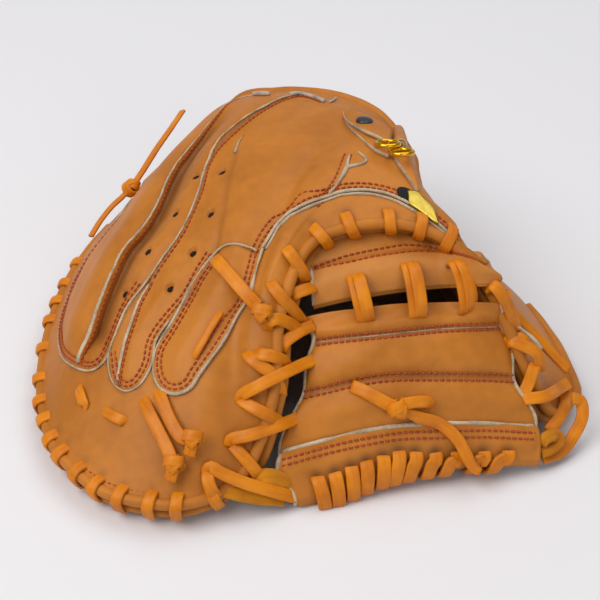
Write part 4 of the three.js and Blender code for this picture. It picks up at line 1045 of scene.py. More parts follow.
def make_rolled_edges():
    """The padded rolls round the rim and the hand opening, and what is sewn between them."""
    def rolled(name, node, line, radius, wrinkle):
        roll = Bundle()
        roll_into(roll, resample(line, 1.5), radius, wrinkle=wrinkle)
        roll.piece(name, [TAN], "tan_leather", node)

    rolled("finger_roll", "finger_piping", rim_line(0.25, 6.93, 1.2, -1.2), PIPING, 0.1)
    rolled("crotch_roll", "crotch_piping", rim_line(6.93, 16.6, 1.2, -1.2), PIPING, 0.1)
    line = rim_line(1.2, 15.8, 0.8, 1.4, True)
    line[:, 2] = np.maximum(line[:, 2], PALM_PIPING + 0.3)
    rolled("palm_roll", "palm_piping", line, PALM_PIPING, 0.1)
    # A strip of leather closes the rim between its two rolls, darkened all over with painted shade
    here, under, across, out = rim_frame(np.linspace(0.15, 16.85, 240))
    t = np.linspace(0, 1, 5)[None, :, None]
    low, high = under + across * 0.5, here - across * 0.5
    outer = low[:, None] * (1 - t) + high[:, None] * t + out[:, None] * 0.9
    outer[..., 2] = np.maximum(outer[..., 2], 0.3)
    closed_sheet("rim_inside_strip", outer, outer - out[:, None] * 1.2, [TAN_PALM, TAN_PALM], "tan_leather",
                 shades=np.full(outer.shape[:2], -0.4))
    # One thin stitched line runs just inside the finger rim's roll
    here, _, across, out = rim_frame(np.linspace(0.4, 6.7, 160))
    line = here - out * 2.6 + across * 0.9
    thread = Bundle()
    stitches_into(thread, resample(line, 1.0), unit(resample(np.hstack([line, across]), 1.0)[:, 3:]), 0.8)
    thread.piece("rim_stitches", [THREAD], "rawhide_lace")
    # The binding of the hand opening
    u = np.linspace(0.4, 14.5, 120)
    wrist = back(u, 0 * u)
    line = wrist - back_out(u, 0 * u) * 1.2 + unit(wrist - back(u, 0 * u + 0.03)) * 2.4
    rolled("wrist_roll", "wrist_binding", line, BINDING, 0.08)


# Laces

def spot(where, x, y, height):
    """A lace's route point and the way that its smooth side looks, from x, y in the 600-pixel
    frame: on the back, on the web, at the web's side, or in the air at a height."""
    if where == "air":
        return sight(x, y, height), np.array([0, -0.55, 0.8])
    if where == "side":
        # Between the web's end and the rolled edge beside it, or on the leather past that edge
        rim, end = (FINGER_RIM, LEFT_END) if x < WEB_MIDDLE else (THUMB_RIM, RIGHT_END)
        far = []
        for line in (rim, end):
            miss = np.hypot(*(seen(line) - (x, y)).T)
            near = miss.argmin()
            far.append((miss[near] + 0.5, (line[near] - EYE) @ AHEAD))
        (a, depth_a), (b, depth_b) = far
        depth = (depth_a * b + depth_b * a) / (a + b)
        leather = on_back(*back_view.find(x, y))
        if np.hypot(*(seen(leather) - (x, y))) < 3:
            depth = min(depth, (leather - EYE) @ AHEAD)
        return EYE + ray_through(x, y) * (depth - height), unit(np.array([0, 0, 0.35]) - AHEAD)
    # The place under a raised point isn't the one that shows at x, y, so it is found in steps
    aim, best = np.array([x, y], float), None
    for _ in range(4):
        if where == "back":
            at = back_view.find(*aim)
            point, out = on_back(*at, height), back_out(*at)
        else:
            at = web_view.find(*aim)
            swell = strip_swell(*at) if at[1] < STRIP_END else web_swell(*at)
            point, out = on_web(*at, swell + height - 0.6), web_out(*at)
        miss = np.array([x, y]) - seen(point)
        if best is None or np.hypot(*miss) < best[0]:
            best = (np.hypot(*miss), point, out)
        aim = aim + np.clip(miss, -8, 8)
    return best[1], best[2]


def spots(where, places):
    """Route points and ways for a list of (x, y, height)."""
    points, ways = zip(*(spot(where, *place) for place in places))
    return np.array(points), np.array(ways)


# The web's middle in the frame, and the row of the web between the crotch strip and its panel
WEB_MIDDLE = 400
STRIP_END = 2.4
FINGER_RIM = rim_line(6.3, 10.2, 1.2, -1.2)
THUMB_RIM = rim_line(12.3, 15.9, 1.2, -1.2)
LEFT_END = on_web(np.zeros(60), np.linspace(1.8, 7, 60), 0.0)
RIGHT_END = on_web(np.ones(60), np.linspace(1.8, 7, 60), 0.0)


def lace_piece(name, bundle, *nodes, finish=(LACE, NAP)):
    return bundle.piece(name, finish, "rawhide_lace", *nodes)


def tail_piece(name, node, route, ups, width, thick=LACE_THICK, pinch=0.0):
    """The free end of a tied lace, cut off square."""
    bundle = Bundle()
    centre = lace_into(bundle, route, ups, width, thick, pinch=pinch)
    piece = lace_piece(name, bundle, node)


def laced(bundle, where, places, width, thick=LACE_THICK):
    """A flat lace through places given as (x, y, height)."""
    lace_into(bundle, *spots(where, places), width, thick)


def knot_into(bundle, place, up, ahead, size):
    """A flat lace tied round itself: two tight turns that cross, over a bent core."""
    up, ahead = unit(up), unit(ahead)
    side = unit(np.cross(up, ahead))
    up = np.cross(ahead, side)
    angle = np.linspace(-0.2, 2 * math.pi - 0.1, 18)[:, None]
    # Each turn: how far it is turned, how wide it reaches, how far along it lies, and its lace's width
    for turn, reach, shift, width in ((0.25, 1.0, 1.4, 5.6), (-0.75, 1.22, -0.8, 5.4), (1.15, 1.1, 0.0, 4.6)):
        a = ahead * math.cos(turn) + side * math.sin(turn)
        s = np.cross(up, a)
        ring = place + a * (shift + (angle / math.pi - 1) * 0.9)
        ring += (np.cos(angle) * s + np.sin(angle) * up * 0.8) * (size * 0.72 * reach)
        lace_into(bundle, ring, np.cos(angle) * s + np.sin(angle) * up, width, 1.6, spacing=1.0)


# How far the lace holes are from the rim, and where along the rim the lace turns round it
RIM_HOLE = 5.6
CROTCH_HOLE = 6.0
RIM_LOOPS = [0.45, 0.55, 0.63, 0.71, 0.82, 0.93, 1.05, 1.5, 2.03, 2.7, 3.4, 3.93, 4.6, 5.27, 5.75, 6.4]
CROTCH_LOOPS = [10.1, 10.5, 11.0, 11.45, 11.9]


def rim_loop_into(bundle, r, slant, inset):
    """One turn of the spiral lacing: out of its hole in the back, over both rolls, and in."""
    here, under, across, out = rim_frame(r)
    ahead = unit(np.cross(out, across))
    # The turn lies close round the roll, half a lace above it
    reach = PIPING + LACE_THICK / 2
    middle = here + out * 1.2 - across * 1.2
    route = [here - out * (inset + 1.0) - across * 2.4, here - out * inset - across * 0.2,
             here - out * (inset - 1.8) + across * 1.3, middle - out * 1.0 + across * reach,
             middle + (out + across) * (reach * 0.72), middle + out * reach]
    ups = [across * 0.5 - out, across - out, across - out * 0.2, across, out + across, out]
    if np.linalg.norm(here - under) > 12:
        route.append((here + under) / 2 + out * 3.4)
        ups.append(out)
    route += [under + out * (PALM_PIPING + LACE_THICK) + across * 1.4,
              under + out * 0.4 - across * (PALM_PIPING - 0.5)]
    ups += [out, out - across]
    route = np.array(route) + np.linspace(-0.5, 0.5, len(route))[:, None] * ahead * slant
    route[:, 2] = np.maximum(route[:, 2], LACE_THICK / 2 + 0.1)
    lace_into(bundle, route, ups, width=5.6)


def make_edge_laces():
    """The spiral lacing of the rim, which slants one way on the fingers and the other at the crotch."""
    for name, node, loops, slant, inset in (("rim_lace_turns", "rim_lace", RIM_LOOPS, 2.5, 5.0),
                                            ("crotch_lace_turns", "crotch_lace", CROTCH_LOOPS, -3.0, 5.2)):
        turns = Bundle()
        for r in loops:
            rim_loop_into(turns, r, slant + rng.uniform(-1.5, 1.5), inset + rng.uniform(-0.6, 0.8))
        lace_piece(name, turns, node)


# The web

UPPER_SEAM = [(318, 342), (380, 335), (440, 329), (497, 326)]
MIDDLE_SEAM = [(306, 394), (330, 388), (384, 377), (440, 376), (512, 378)]
TIP_EDGE = [(279, 453), (320, 441), (357, 432), (400, 425), (440, 423), (540, 427)]
upper_seam, middle_seam, tip_edge = (web_view.line(line) for line in (UPPER_SEAM, MIDDLE_SEAM, TIP_EDGE))


def row_of(line, across):
    """Which row of the web a line across it is on."""
    order = np.argsort(line[:, 0])
    return np.interp(across, line[order, 0], line[order, 1])


def web_swell(across, row):
    """How far the web's leather stands out: its seams pull it in and it swells between them."""
    height = 0.6 + 0.5 * np.sin(across * 17 + row * 2) * np.sin(row * 4.4 + across * 3)
    upper, middle, tip = (row - row_of(line, across) for line in (upper_seam, middle_seam, tip_edge))
    height += 1.2 * np.exp(-((upper + 0.3) / 0.2)**2) + 1.5 * np.exp(-((upper - 0.6) / 0.35)**2)
    height += 1.5 * np.exp(-((middle - 0.45) / 0.3)**2)
    height -= 1.3 * np.exp(-(upper / 0.13)**2) + 1.3 * np.exp(-(middle / 0.13)**2)
    # The tip panel lies on top, below its raw edge, and is laced down further on
    laid = between(tip, -0.02, 0.03)
    height += laid * 1.5 + 0.8 * np.exp(-((tip - 0.5) / 0.22)**2) - 0.5 * np.exp(-((tip - 0.12) / 0.1)**2)
    height = height * np.minimum(between(across, -0.01, 0.03), 1 - between(across, 0.97, 1.01))
    return height


def past_web(across, row, height):
    """A place on the web, or past its ends in a straight line on from them."""
    within = np.clip(row, 0.02, WEB_END)
    down = (web(across, np.full_like(row, WEB_END)) - web(across, np.full_like(row, WEB_END - 0.4))) / 0.4
    up = (web(across, np.full_like(row, 0.3)) - web(across, np.full_like(row, 0.0))) / 0.3
    over = np.where(row > WEB_END, row - WEB_END, 0)[..., None] * down
    over += np.where(row < 0.02, row - 0.02, 0)[..., None] * up
    # The last tenth of the web sets the way on past its right end
    side = (web(np.ones_like(within), within) - web(np.full_like(within, 0.9), within)) / 0.1
    over += np.where(across > 1, across - 1, 0)[..., None] * side
    return on_web(np.minimum(across, 1), within, height) + over


def web_bottom(across):
    """The web's last row, which reaches further down at its left."""
    return np.interp(across, [0, 0.1, 0.2, 0.3, 0.4, 0.6, 0.8, 1],
                     [7.3, 7.36, 7.38, 7.28, 7.14, 7.05, 7.03, 7.15])


strip_seam = web_view.line([(309, 268), (346, 261), (380, 254), (410, 250), (462, 252)])


def strip_swell(across, row):
    """How far the crotch strip stands out: padded, sewn along its middle, and turned in below."""
    seam = np.exp(-((row - row_of(strip_seam, across)) / 0.14)**2)
    height = 0.8 + 1.8 * np.sin(math.pi * np.clip(row, 0, 2) / 2)
    height -= 0.8 * seam + 1.6 * between(row, 1.75, 2.02)**2
    height += 0.3 * np.sin(across * 23 + row * 2) * between(row, 0.9, 1.3)
    return height


def end_wave(row):
    """The web's two ends are cut in shallow waves between the holes of the side laces."""
    return 0.012 * np.sin(row * 5.2 + 0.6) - 0.004


def tip_wave(share):
    return 0.014 * np.sin(share * 6.6 + 2.6)


def make_web():
    """The web: its sewn panel, the tip panel over its lower end, and the crotch strip above."""
    aa, rr = np.meshgrid(np.linspace(0, 1, 120), np.linspace(2.98, 6.2, 130), indexing="ij")
    tip_row = row_of(tip_edge, aa)
    height = web_swell(aa, rr) - 0.6 - 1.5 * between(rr - tip_row, -0.02, 0.03)
    # Painted shade along the two seams and just above the tip panel's raised edge
    shade = np.zeros(aa.shape)
    for line in (upper_seam, middle_seam):
        shade -= 0.4 * np.exp(-((rr - row_of(line, aa)) / 0.09)**2)
    shade -= 0.3 * np.exp(-((rr - tip_row + 0.03) / 0.05)**2)
    wave = end_wave(rr)
    place = aa * (1 - 2 * wave) + wave
    closed_sheet("web_panel", on_web(place, rr, height + 0.6), on_web(place, rr, height - 2.6), [TAN, RAW],
                 "tan_leather", "web_strip_2", "web_strip_3", "web_strip_4", shades=shade)

    # The tip panel lies over the web's last strip with its upper edge left raw
    aa, share = np.meshgrid(np.linspace(0, 1, 120), np.linspace(0, 1, 70), indexing="ij")
    top, bottom = row_of(tip_edge, aa), web_bottom(aa)
    rr = top + (bottom - top) * share
    turn = between(rr - bottom, -0.3, 0)
    height = np.maximum(web_swell(aa, np.maximum(rr, top + 0.03)), 1.6) - 3.4 * turn**2
    height += 0.35 * np.sin(aa * 44) * between(share, 0.3, 0.5)
    depth = 2.0 + 4.2 * between(share, 0.2, 0.6) * (1 - 0.6 * turn)
    place = aa * 1.014 + tip_wave(share) * (1 - aa) - 0.004 * aa
    outer, inner = past_web(place, rr, height), past_web(place, rr, height - depth)
    outer[..., 2] = np.maximum(outer[..., 2], 1.0)
    inner[..., 2] = np.maximum(inner[..., 2], 0.2)
    # Painted shade darkens the tip panel round each lace hole
    shade = np.zeros(aa.shape)
    for x, y in TIP_LOOPS:
        hole = spot("web", x, y, 0.6)[0]
        shade -= 1.0 * np.exp(-(np.linalg.norm(outer - hole, axis=-1) / 3.6)**2)
    closed_sheet("web_tip", outer, inner, [TAN, RAW], "tan_leather", "web_tip_panel",
                 shades=np.clip(shade, -1, 0))

    # The crotch strip, a little wider at its fullest part
    aa, rr = np.meshgrid(np.linspace(0, 1, 120), np.linspace(-0.9, 2.02, 90), indexing="ij")
    seam = np.exp(-((rr - row_of(strip_seam, aa)) / 0.12)**2)
    wide = aa * (1 + 0.04 * np.exp(-((rr - 1.2) / 0.8)**2))
    outer = past_web(wide, rr, strip_swell(aa, rr))
    inner = past_web(wide, rr, -4.4 + 1.4 * between(rr, 1.6, 2.0))
    # Painted light lifts the whole strip, and painted shade darkens it along its seam
    piece = closed_sheet("crotch_strip_leather", outer, inner, [TAN, TAN], "tan_leather", "crotch_strip",
                         shades=0.3 - 0.5 * seam)


def web_line(pixels, height):
    """A line on the web's leather, with the way out from it."""
    fine = finely(web_view.line(pixels))
    swell = np.where(fine[:, 1] < STRIP_END, strip_swell(*fine.T), web_swell(*fine.T))
    return resample(np.hstack([on_web(*fine.T, swell + height), web_out(*fine.T) * 0.001]), 1.2)


def make_web_seams():
    """The web's cut edges, and its rows of stitches."""
    thread, edges = Bundle(), Bundle()
    rows = np.linspace(3.0, 6.1, 60)
    for across in (0.0, 1.0):
        wave = end_wave(rows)
        place = across * (1 - 2 * wave) + wave + 0.003 * (2 * across - 1)
        edge_into(edges, on_web(place, rows, -0.1), 1.0, 0.4)
    share = np.linspace(0.02, 0.96, 50)
    top, bottom = row_of(tip_edge, 0.0), web_bottom(0.0)
    rows = top + (bottom - top) * share
    end = past_web(tip_wave(share) - 0.003, rows, 1.0 - 3.4 * between(rows - bottom, -0.3, 0)**2)
    end[:, 2] = np.maximum(end[:, 2], 1.0)
    edge_into(edges, end, 0.95, 0.4)
    # A cut edge of the palm's leather shows between the web's right end and the thumb
    behind, _ = spots("side", ((499, 316, 0), (511, 322, 0), (524, 331, 0), (534, 340, 0), (541, 349, 0)))
    edge_into(edges, even(behind, 1.2), 0.9, 0.4)
    # The strip's two rows draw together at its middle. Each other seam has a row on both its sides.
    rows = [[(309, 263 + shift), (346, 257 + shift * 0.8), (380, 250 + shift * 0.8), (410, 246 + shift * 0.8),
             (462, 247 + shift)] for shift in (0, 9)]
    for pixels, shifts in ((UPPER_SEAM, (-3, 3)), (MIDDLE_SEAM, (-3, 4)),
                           ([(284, 452), *TIP_EDGE[1:-1], (538, 426)], (7, 13))):
        rows += [[(x, y + shift) for x, y in pixels] for shift in shifts]
    for pixels in rows:
        joined = web_line(pixels, 0.25)
        stitches_into(thread, joined[:, :3], unit(joined[:, 3:]), 1.15)
    for pixels, height, radius in ((UPPER_SEAM, -0.1, 0.3), (TIP_EDGE, 0.1, 0.95),
                                   ([(306, 263), (308, 276), (311, 292), (312, 306)], 0.2, 0.9)):
        edge_into(edges, web_line(pixels, height)[:, :3], radius, 0.5)
    thread.piece("web_stitches", [THREAD], "rawhide_lace")
    edges.piece("web_raw_edges", [RAW], "raw_edge")


TIP_LOOPS = [(317, 477), (334, 472.5), (350.5, 466), (365.5, 461), (382.5, 456), (398, 451), (415, 451.5),
             (434.5, 451.5), (456, 452), (483, 452), (507, 451)]


def make_web_laces():
    """The lacing of the web's tip, and the laces that bridge the gap above its panel."""
    tip = Bundle()
    for x, y in TIP_LOOPS:
        a, row = web_view.find(x, y)
        slant = np.interp(x, (317, 370, 420, 507), (-0.006, 0.0, 0.014, 0.03))
        slant += rng.uniform(-0.003, 0.003)
        end = web_bottom(a)
        # Out of its hole, down over the tip panel's end and back under it: slant, row and height
        part, at, high = np.array([
            (0.15, row - 0.03, -1.0), (0, row + 0.01, 2.6), (0.2, row + 0.14, 4.4), (1, end - 0.25, 4.4),
            (1.6, end + 0.06, 0.6), (1.8, end + 0.08, -4.5), (1.9, end - 0.15, -7.6), (2, end - 0.5, -6.5)]).T
        route = past_web(a - slant * part, at, high)
        out = web_out(a, 6.6)
        down = unit(web(a, 6.9) - web(a, 6.5))
        ups = [out - down, out - down * 0.6, out, out + down * 0.5, down, down, down - out, -out]
        route[:, 2] = np.maximum(route[:, 2], LACE_THICK / 2 + 0.1)
        lace_into(tip, route, ups, width=6.6, thick=2.2)
    lace_piece("web_tip_lace", tip, "tip_lace")
    # Three doubled laces bridge the gap between the crotch strip and the web
    ends = (((355, 276), (366, 319)), ((409, 264), (418, 315)), ((456, 262), (468, 309)))
    for k, (top, low) in enumerate(ends, 1):
        loop = Bundle()
        (start, out), (end, way) = spot("web", *top, 1.4), spot("web", *low, 1.4)
        down = unit(end - start)
        side = unit(np.cross(out, down))
        for lift, lean in ((0.0, -1.3), (1.8, 1.3)):
            route = [start - out * 3.5, start + out * lift * 0.4]
            route += [start + (end - start) * share + (out + way) * (0.5 * (bulge + lift))
                      for share, bulge in ((0.2, 2.6), (0.5, 3.4), (0.8, 2.4))]
            route += [end + way * lift * 0.4, end - way * 3.5]
            ups = [-down, out - down, out, out, out, way + down, down]
            lace_into(loop, np.array(route) + side * lean, ups, width=6.2)
        lace_piece(f"web_bridge_{k}", loop, f"web_loop_{k}")


def make_ties():
    """The knotted ties and the short laces of the web, the fingers and the little-finger side."""
    tie = Bundle()
    laced(tie, "web", [(352, 386, 1.6), (366, 392, 3.0), (384, 402, 4.2), (396, 408, 4.6)], 6.2)
    route, ups = spots("web", [(402, 410, 4.6), (418, 417, 3.2), (440, 424, 3.0), (458, 440, 3.2),
                               (472, 466, 6.6), (480, 474, 7.0)])
    tail_piece("web_tie_tail", "web_tie", route, ups, 5.8, pinch=0.3)
    knot_into(tie, *spot("web", 398, 410, 5.0), [0.9, -0.1, -0.35], 4.6)
    laced(tie, "web", [(404, 404, 5.5), (416, 402, 4.0), (428, 402, 2.6), (430, 408, -1.0)], 5.6)
    lace_piece("web_knotted_tie", tie, "web_tie")

    tie = Bundle()
    laced(tie, "back", [(214, 258, -1.5), (218, 262, 1.8), (232, 278, 2.6), (248, 296, 4.0),
                        (256, 306, 5.4)], 6.4)
    knot_into(tie, *spot("back", 258, 312, 5.2), [0.4, -0.6, -0.5], 4.4)
    lace_piece("finger_back_tie", tie, "finger_tie")

    for name, node, places in (
            ("fingertip_tie_1", "tip_tie_1", [(143, 398), (148, 410), (158, 430), (168, 450), (173, 464)]),
            ("fingertip_tie_2", "tip_tie_2", [(158, 388), (162, 400), (170, 420), (181, 437), (192, 439)])):
        tie = Bundle()
        heights = (-1.2, 2.0, 3.3, 4.6, 6.0)
        laced(tie, "back", [(*place, height) for place, height in zip(places, heights)], 6.0)
        x, y = places[-1]
        knot_into(tie, *spot("back", x, y, 6.0), [0.5, -0.7, -0.5], 4.3)
        laced(tie, "back", [(x, y, 6.0), (x - 1, y + 8, 6.5), (x - 3, y + 17, 5.5)], 5.6)
        lace_piece(name, tie, node)

    for name, node, width, places in (
            ("index_slot_lace", "slot_lace", 3.8,
             [(221, 312), (218, 316), (211, 327), (203, 341), (196, 353), (193, 358)]),
            ("fingertip_stitch_1", "stitch_lace_1", 5.2,
             [(79, 387), (79, 390), (80.5, 395), (82.5, 401), (84.5, 405), (85, 408)]),
            ("fingertip_stitch_2", "stitch_lace_2", 5.2,
             [(104, 411), (107, 412.5), (112, 415.5), (118, 418.5), (123, 421), (126, 423)])):
        short = Bundle()
        heights = (-1.6, 0.8, 1.7, 1.7, 0.8, -1.6)
        laced(short, "back", [(*place, height) for place, height in zip(places, heights)], width)
        lace_piece(name, short, node)

    tie = Bundle()
    knot, out = (-93, 92, 44), np.array([-0.7, -0.2, 0.6])
    tail_piece("little_finger_tail_1", "little_tie",
               [knot, (-98, 87, 41), (-103.5, 82, 38), (-109, 75, 34), (-114, 67, 29)], out, 5.0)
    tail_piece("little_finger_tail_2", "little_tie",
               [knot, (-86.5, 98, 51.5), (-79, 107, 60), (-72, 117, 66), (-66, 129, 70)], out, 5.4)
    knot_into(tie, np.array(knot, float), out, [0.5, 0.6, 0.6], 5.0)
    lace_piece("little_finger_tie", tie, "little_tie")


def make_side_laces():
    """The laces that join the web to the finger's and the thumb's edges, crossing as they go."""
    bands = {
        "finger_side_lace_1": ("side_lace_left_1", [
            [(241, 401, 0.5), (242, 395, 3), (258, 386, 4.5), (280, 375, 5.5), (299, 366, 3.5),
             (311, 361, 1.5), (315, 359, -1.5)],
            [(240, 398, 1), (246, 403, 2.5), (258, 410, 3.5), (270, 416, 4), (277, 420, 1.5), (279, 424, -2)],
            [(247, 352, -1), (251, 358, 2.5), (261, 366, 3), (271, 373, 3.5), (279, 386, 1.5),
             (281, 396, -1.5)],
            [(255, 351, -1), (260, 354, 3), (272, 356, 4.5), (282, 360, 3), (287, 366, -0.5)],
            [(281, 351, -1), (284, 343, 2), (294, 335, 3), (304, 329, 2.5), (314, 325, -0.5)],
            [(267, 330, -1), (268, 323, 3), (276, 319, 4.8), (287, 322, 4.5), (296, 328, 2), (300, 333, -2)],
            [(271, 282, -1), (274, 288, 3), (283, 299, 4.8), (294, 311, 4), (301, 320, 0.5), (304, 327, -3)],
            [(290, 297, -2), (296, 293, 2), (307, 289, 2), (314, 287, -2)],
            [(286, 248, 0), (290, 253, 3.5), (297, 263, 4.5), (303, 273, 1.5), (306, 281, -3)],
        ]),
        "finger_side_lace_2": ("side_lace_left_2", [
            [(230, 446, 0.5), (232, 439, 3), (250, 435, 4.5), (275, 427, 5), (290, 421, 3), (300, 417, -1.5)],
            [(233, 445, 1), (240, 453, 3), (249, 463, 4), (257, 473, 2.5), (260, 478, -2)],
        ]),
        "finger_side_lace_3": ("side_lace_left_3", [
            [(206, 474, 0.5), (210, 467, 3), (223, 474, 5), (245, 483, 6), (268, 490, 5),
             (286, 495, 2.5), (296, 497, -1)],
            [(208, 470, 1), (208, 480, 4), (212, 491, 4.5), (219, 500, 1)],
        ]),
        "thumb_side_lace_1": ("side_lace_right_1", [
            [(486, 288, 1), (493, 285, 4), (501, 294, 4.5), (509, 308, 3.5), (514, 322, 1), (516, 332, -2)],
            [(505, 344, -1), (511, 341, 3), (524, 346, 4.5), (536, 353, 4.5), (540, 363, 2), (539, 370, -1)],
            [(536, 364, 1), (533, 370, 3.5), (529, 382, 3.5), (524, 393, 1.5), (522, 398, -1)],
        ]),
        "thumb_side_lace_2": ("side_lace_right_2", [
            [(520, 402, -1), (526, 399, 2.5), (546, 396, 5), (560, 388, 5), (568, 383, 2)],
            [(564, 392, 1), (566, 402, 3.5), (560, 416, 4), (552, 427, 1.5), (548, 432, -1)],
            [(511, 342, 0), (519, 338, 2), (525, 343, 2), (528, 352, -1)],
        ]),
    }
    for name, (node, routes) in bands.items():
        bundle = Bundle()
        for route in routes:
            laced(bundle, "side", route, 5.9)
        lace_piece(name, bundle, node)
    # The flesh side shows where the laces' ends are turned over
    rough = Bundle()
    laced(rough, "side", [(222, 490, 2), (232, 493, 3), (250, 497, 2), (268, 499, 1.5), (284, 500, -1)], 6.0)
    laced(rough, "side", [(256, 480, 1), (264, 477, 3), (275, 478, 3), (285, 484, 2), (290, 490, -1)],
          8.0, 2.2)
    laced(rough, "side", [(541, 444, 1), (546, 438, 4), (556, 435, 4.5), (559, 441, 3), (550, 449, 2),
                          (541, 452, 0)], 6.0, 2.0)
    lace_piece("side_lace_rough_ends", rough, finish=(NAP, NAP))
    loop = Bundle()
    laced(loop, "air", [(572, 398, 24), (581, 402, 20), (582, 418, 15), (572, 438, 9), (560, 452, 6),
                        (542, 458, 7)], 6.0)
    lace_piece("thumb_tip_lace", loop, "thumb_tip_loop")
    tie = Bundle()
    knot_into(tie, sight(502, 300, 62), [0.1, -0.5, 0.8], [0.6, -0.1, -0.6], 4.8)
    route = [sight(506, 306, 62), sight(522, 322, 55), sight(545, 346, 44), sight(568, 370, 34)]
    tail_piece("thumb_tie_tail", "thumb_tie", route, [0.3, -0.55, 0.7], 4.8, 2.6)
    laced(tie, "air", [(489, 284, 66), (496, 292, 65), (502, 300, 63)], 5.6)
    lace_piece("thumb_knotted_tie", tie, "thumb_tie")


# The wrist strap and the label place

def slab(name, edges, count, depth, crown, thick, materials, slot, *nodes):
    """A flat piece between two edges, each given as route points with their ways, a little
    higher in its middle."""
    share = np.linspace(0, 1, count)
    edges = [rail(np.hstack(edge), share * (len(edge[0]) - 1)) for edge in edges]
    t = np.linspace(0, 1, depth)[None, :, None]
    both = edges[0][:, None] * (1 - t) + edges[1][:, None] * t
    ups = unit(both[..., 3:])
    outer = both[..., :3] + ups * (crown * np.sin(math.pi * t))
    inner = both[..., :3] - ups * thick
    across = np.cross(outer[1, 0] - outer[0, 0], outer[0, 1] - outer[0, 0])
    if across @ ups[0, 0] > 0:
        outer, inner = outer[:, ::-1], inner[:, ::-1]
    closed_sheet(name, outer, inner, materials, slot, *nodes)


def band_piece(name, one_side, other_side, thick, *nodes):
    """A band of leather on the back between two edges, with raw edges."""
    slab(name, (spots("back", one_side), spots("back", other_side)), 40, 10, 0.4, thick, [TAN, RAW],
         "tan_leather", *nodes)


RING_RADIUS = 5.6
RING_WIRE = 1.15
RING_PLACES = ((42.5, 34, 110.6), (48.8, 27.7, 109.9))
RING_UP = (0, 0.35, 0.94)


def ring_piece(name, place, node):
    """A welded wire ring."""
    turn = Vector((0, 0, 1)).rotation_difference(Vector(unit(RING_UP)))
    bpy.ops.object.select_all(action="DESELECT")
    bpy.ops.mesh.primitive_torus_add(
        major_radius=RING_RADIUS * MM, minor_radius=RING_WIRE * MM, major_segments=64, minor_segments=16,
        location=(np.array(place) + SHIFT) * MM, rotation=turn.to_euler())
    piece = bpy.context.object
    bpy.ops.object.transform_apply(location=True, rotation=True, scale=True)
    bpy.ops.object.shade_smooth()
    piece.name = name
    piece.data.materials.append(BRASS)
    declared(piece, "gold_metal", node)
    piece.select_set(False)


def make_strap():
    """The wrist strap: a doubled tab with a snap, two rings, and the belt that turns round them."""
    lower = [(343.5, 113, 3.0), (347, 119.5, 3.8), (355, 124.5, 4.4), (365.5, 130, 4.6), (377, 135, 4.6),
             (390, 142, 4.6)]
    band_piece("strap_tab_top",
               [(344.5, 111, 2.6), (350, 108, 3.0), (360, 110.5, 3.6), (372, 116, 4.0), (382, 121, 4.2),
                (391, 129, 4.4)], lower, 1.9, "strap_tab")
    band_piece("strap_tab_under", [(x - 0.5, y - 2, height - 2.4) for x, y, height in lower],
               [(344, 114, 1.2), (347, 123, 1.4), (357, 133, 1.6), (368.5, 143, 2.0), (378, 150, 2.2),
                (389, 155, 2.4)], 1.9)
    # The snap is turned: its radius at each height
    middle, out = spot("back", 364.5, 121, 4.9)
    heights = np.array([-0.6, 0.2, 0.7, 1.1, 1.35, 1.45, 1.46])
    radii = [4.2, 4.3, 4.1, 3.5, 2.2, 0.6, 0.05]
    snap = Bundle()
    roll_into(snap, middle + unit(out) * heights[:, None], radii, sides=32, up=(0.2, 1, 0.1))
    snap.piece("strap_snap", [SNAP], "black_trim", "strap_rivet")
    for k, place in enumerate(RING_PLACES, 1):
        ring_piece(f"strap_ring_{k}", place, f"ring_{k}")
    # The strap comes up over the far side, rolls round the ring and lies back down on itself
    roll = Bundle()
    start, end = spot("back", 398, 131, 2.2)[0], spot("back", 400.5, 144.5, 3.6)[0]
    line = even([start, (start + end) / 2 + (0, 0, 0.4), end], 0.8)
    roll_into(roll, line, np.linspace(3.0, 3.7, len(line)), sides=22, wrinkle=0.03, up=(0.4, 0.1, 1))
    roll.piece("strap_turn", [TAN], "tan_leather")
    # Its cut edge shows as a coil at the near end
    spiral = Bundle()
    ahead = unit(end - start)
    side = unit(np.cross(ahead, (0, 0, 1)))
    up = np.cross(side, ahead)
    angle = np.linspace(0, 3.4 * math.pi, 46)[:, None]
    reach = np.linspace(0.9, 3.2, 46)[:, None]
    coil = end + ahead * 0.25 + reach * (np.cos(angle) * side + np.sin(angle) * up)
    roll_into(spiral, coil, 0.55, sides=8, wrinkle=0.15, up=ahead)
    spiral.piece("strap_turn_edge", [RAW], "raw_edge")
    band_piece("strap_tail",
               [(394, 155, 2.0), (400, 164, 2.4), (408, 175, 2.4), (414, 184, 2.2), (417, 190, 1.6)],
               [(406, 150, 3.4), (409, 158, 3.6), (413, 168, 3.6), (416.5, 178, 3.2), (419, 189, 1.8)],
               2.2, "strap_belt")


def make_label_place():
    """The place of a label, left bare: a stamped plate on a black backing."""
    for name, node, material, slot, high, thick, left, right in (
            ("label_backing_cloth", "label_backing", BACKING, "black_trim", 1.2, 1.2,
             [(397, 189), (399.5, 187), (404, 187), (410, 189)],
             [(397.5, 192), (400.5, 197), (405.5, 201), (409.5, 203)]),
            ("label_plate_bare", "label_plate", PLATE, "gold_metal", 2.4, 1.6,
             [(408, 190), (417, 190.5), (424, 198), (434, 207), (438, 219)],
             [(409, 203), (415, 206.5), (425.5, 214), (433, 220), (438, 223)])):
        edges = [spots("back", [(x, y, high) for x, y in side]) for side in (left, right)]
        slab(name, edges, 30, 12, 0.4, thick, [material, material], slot, node)


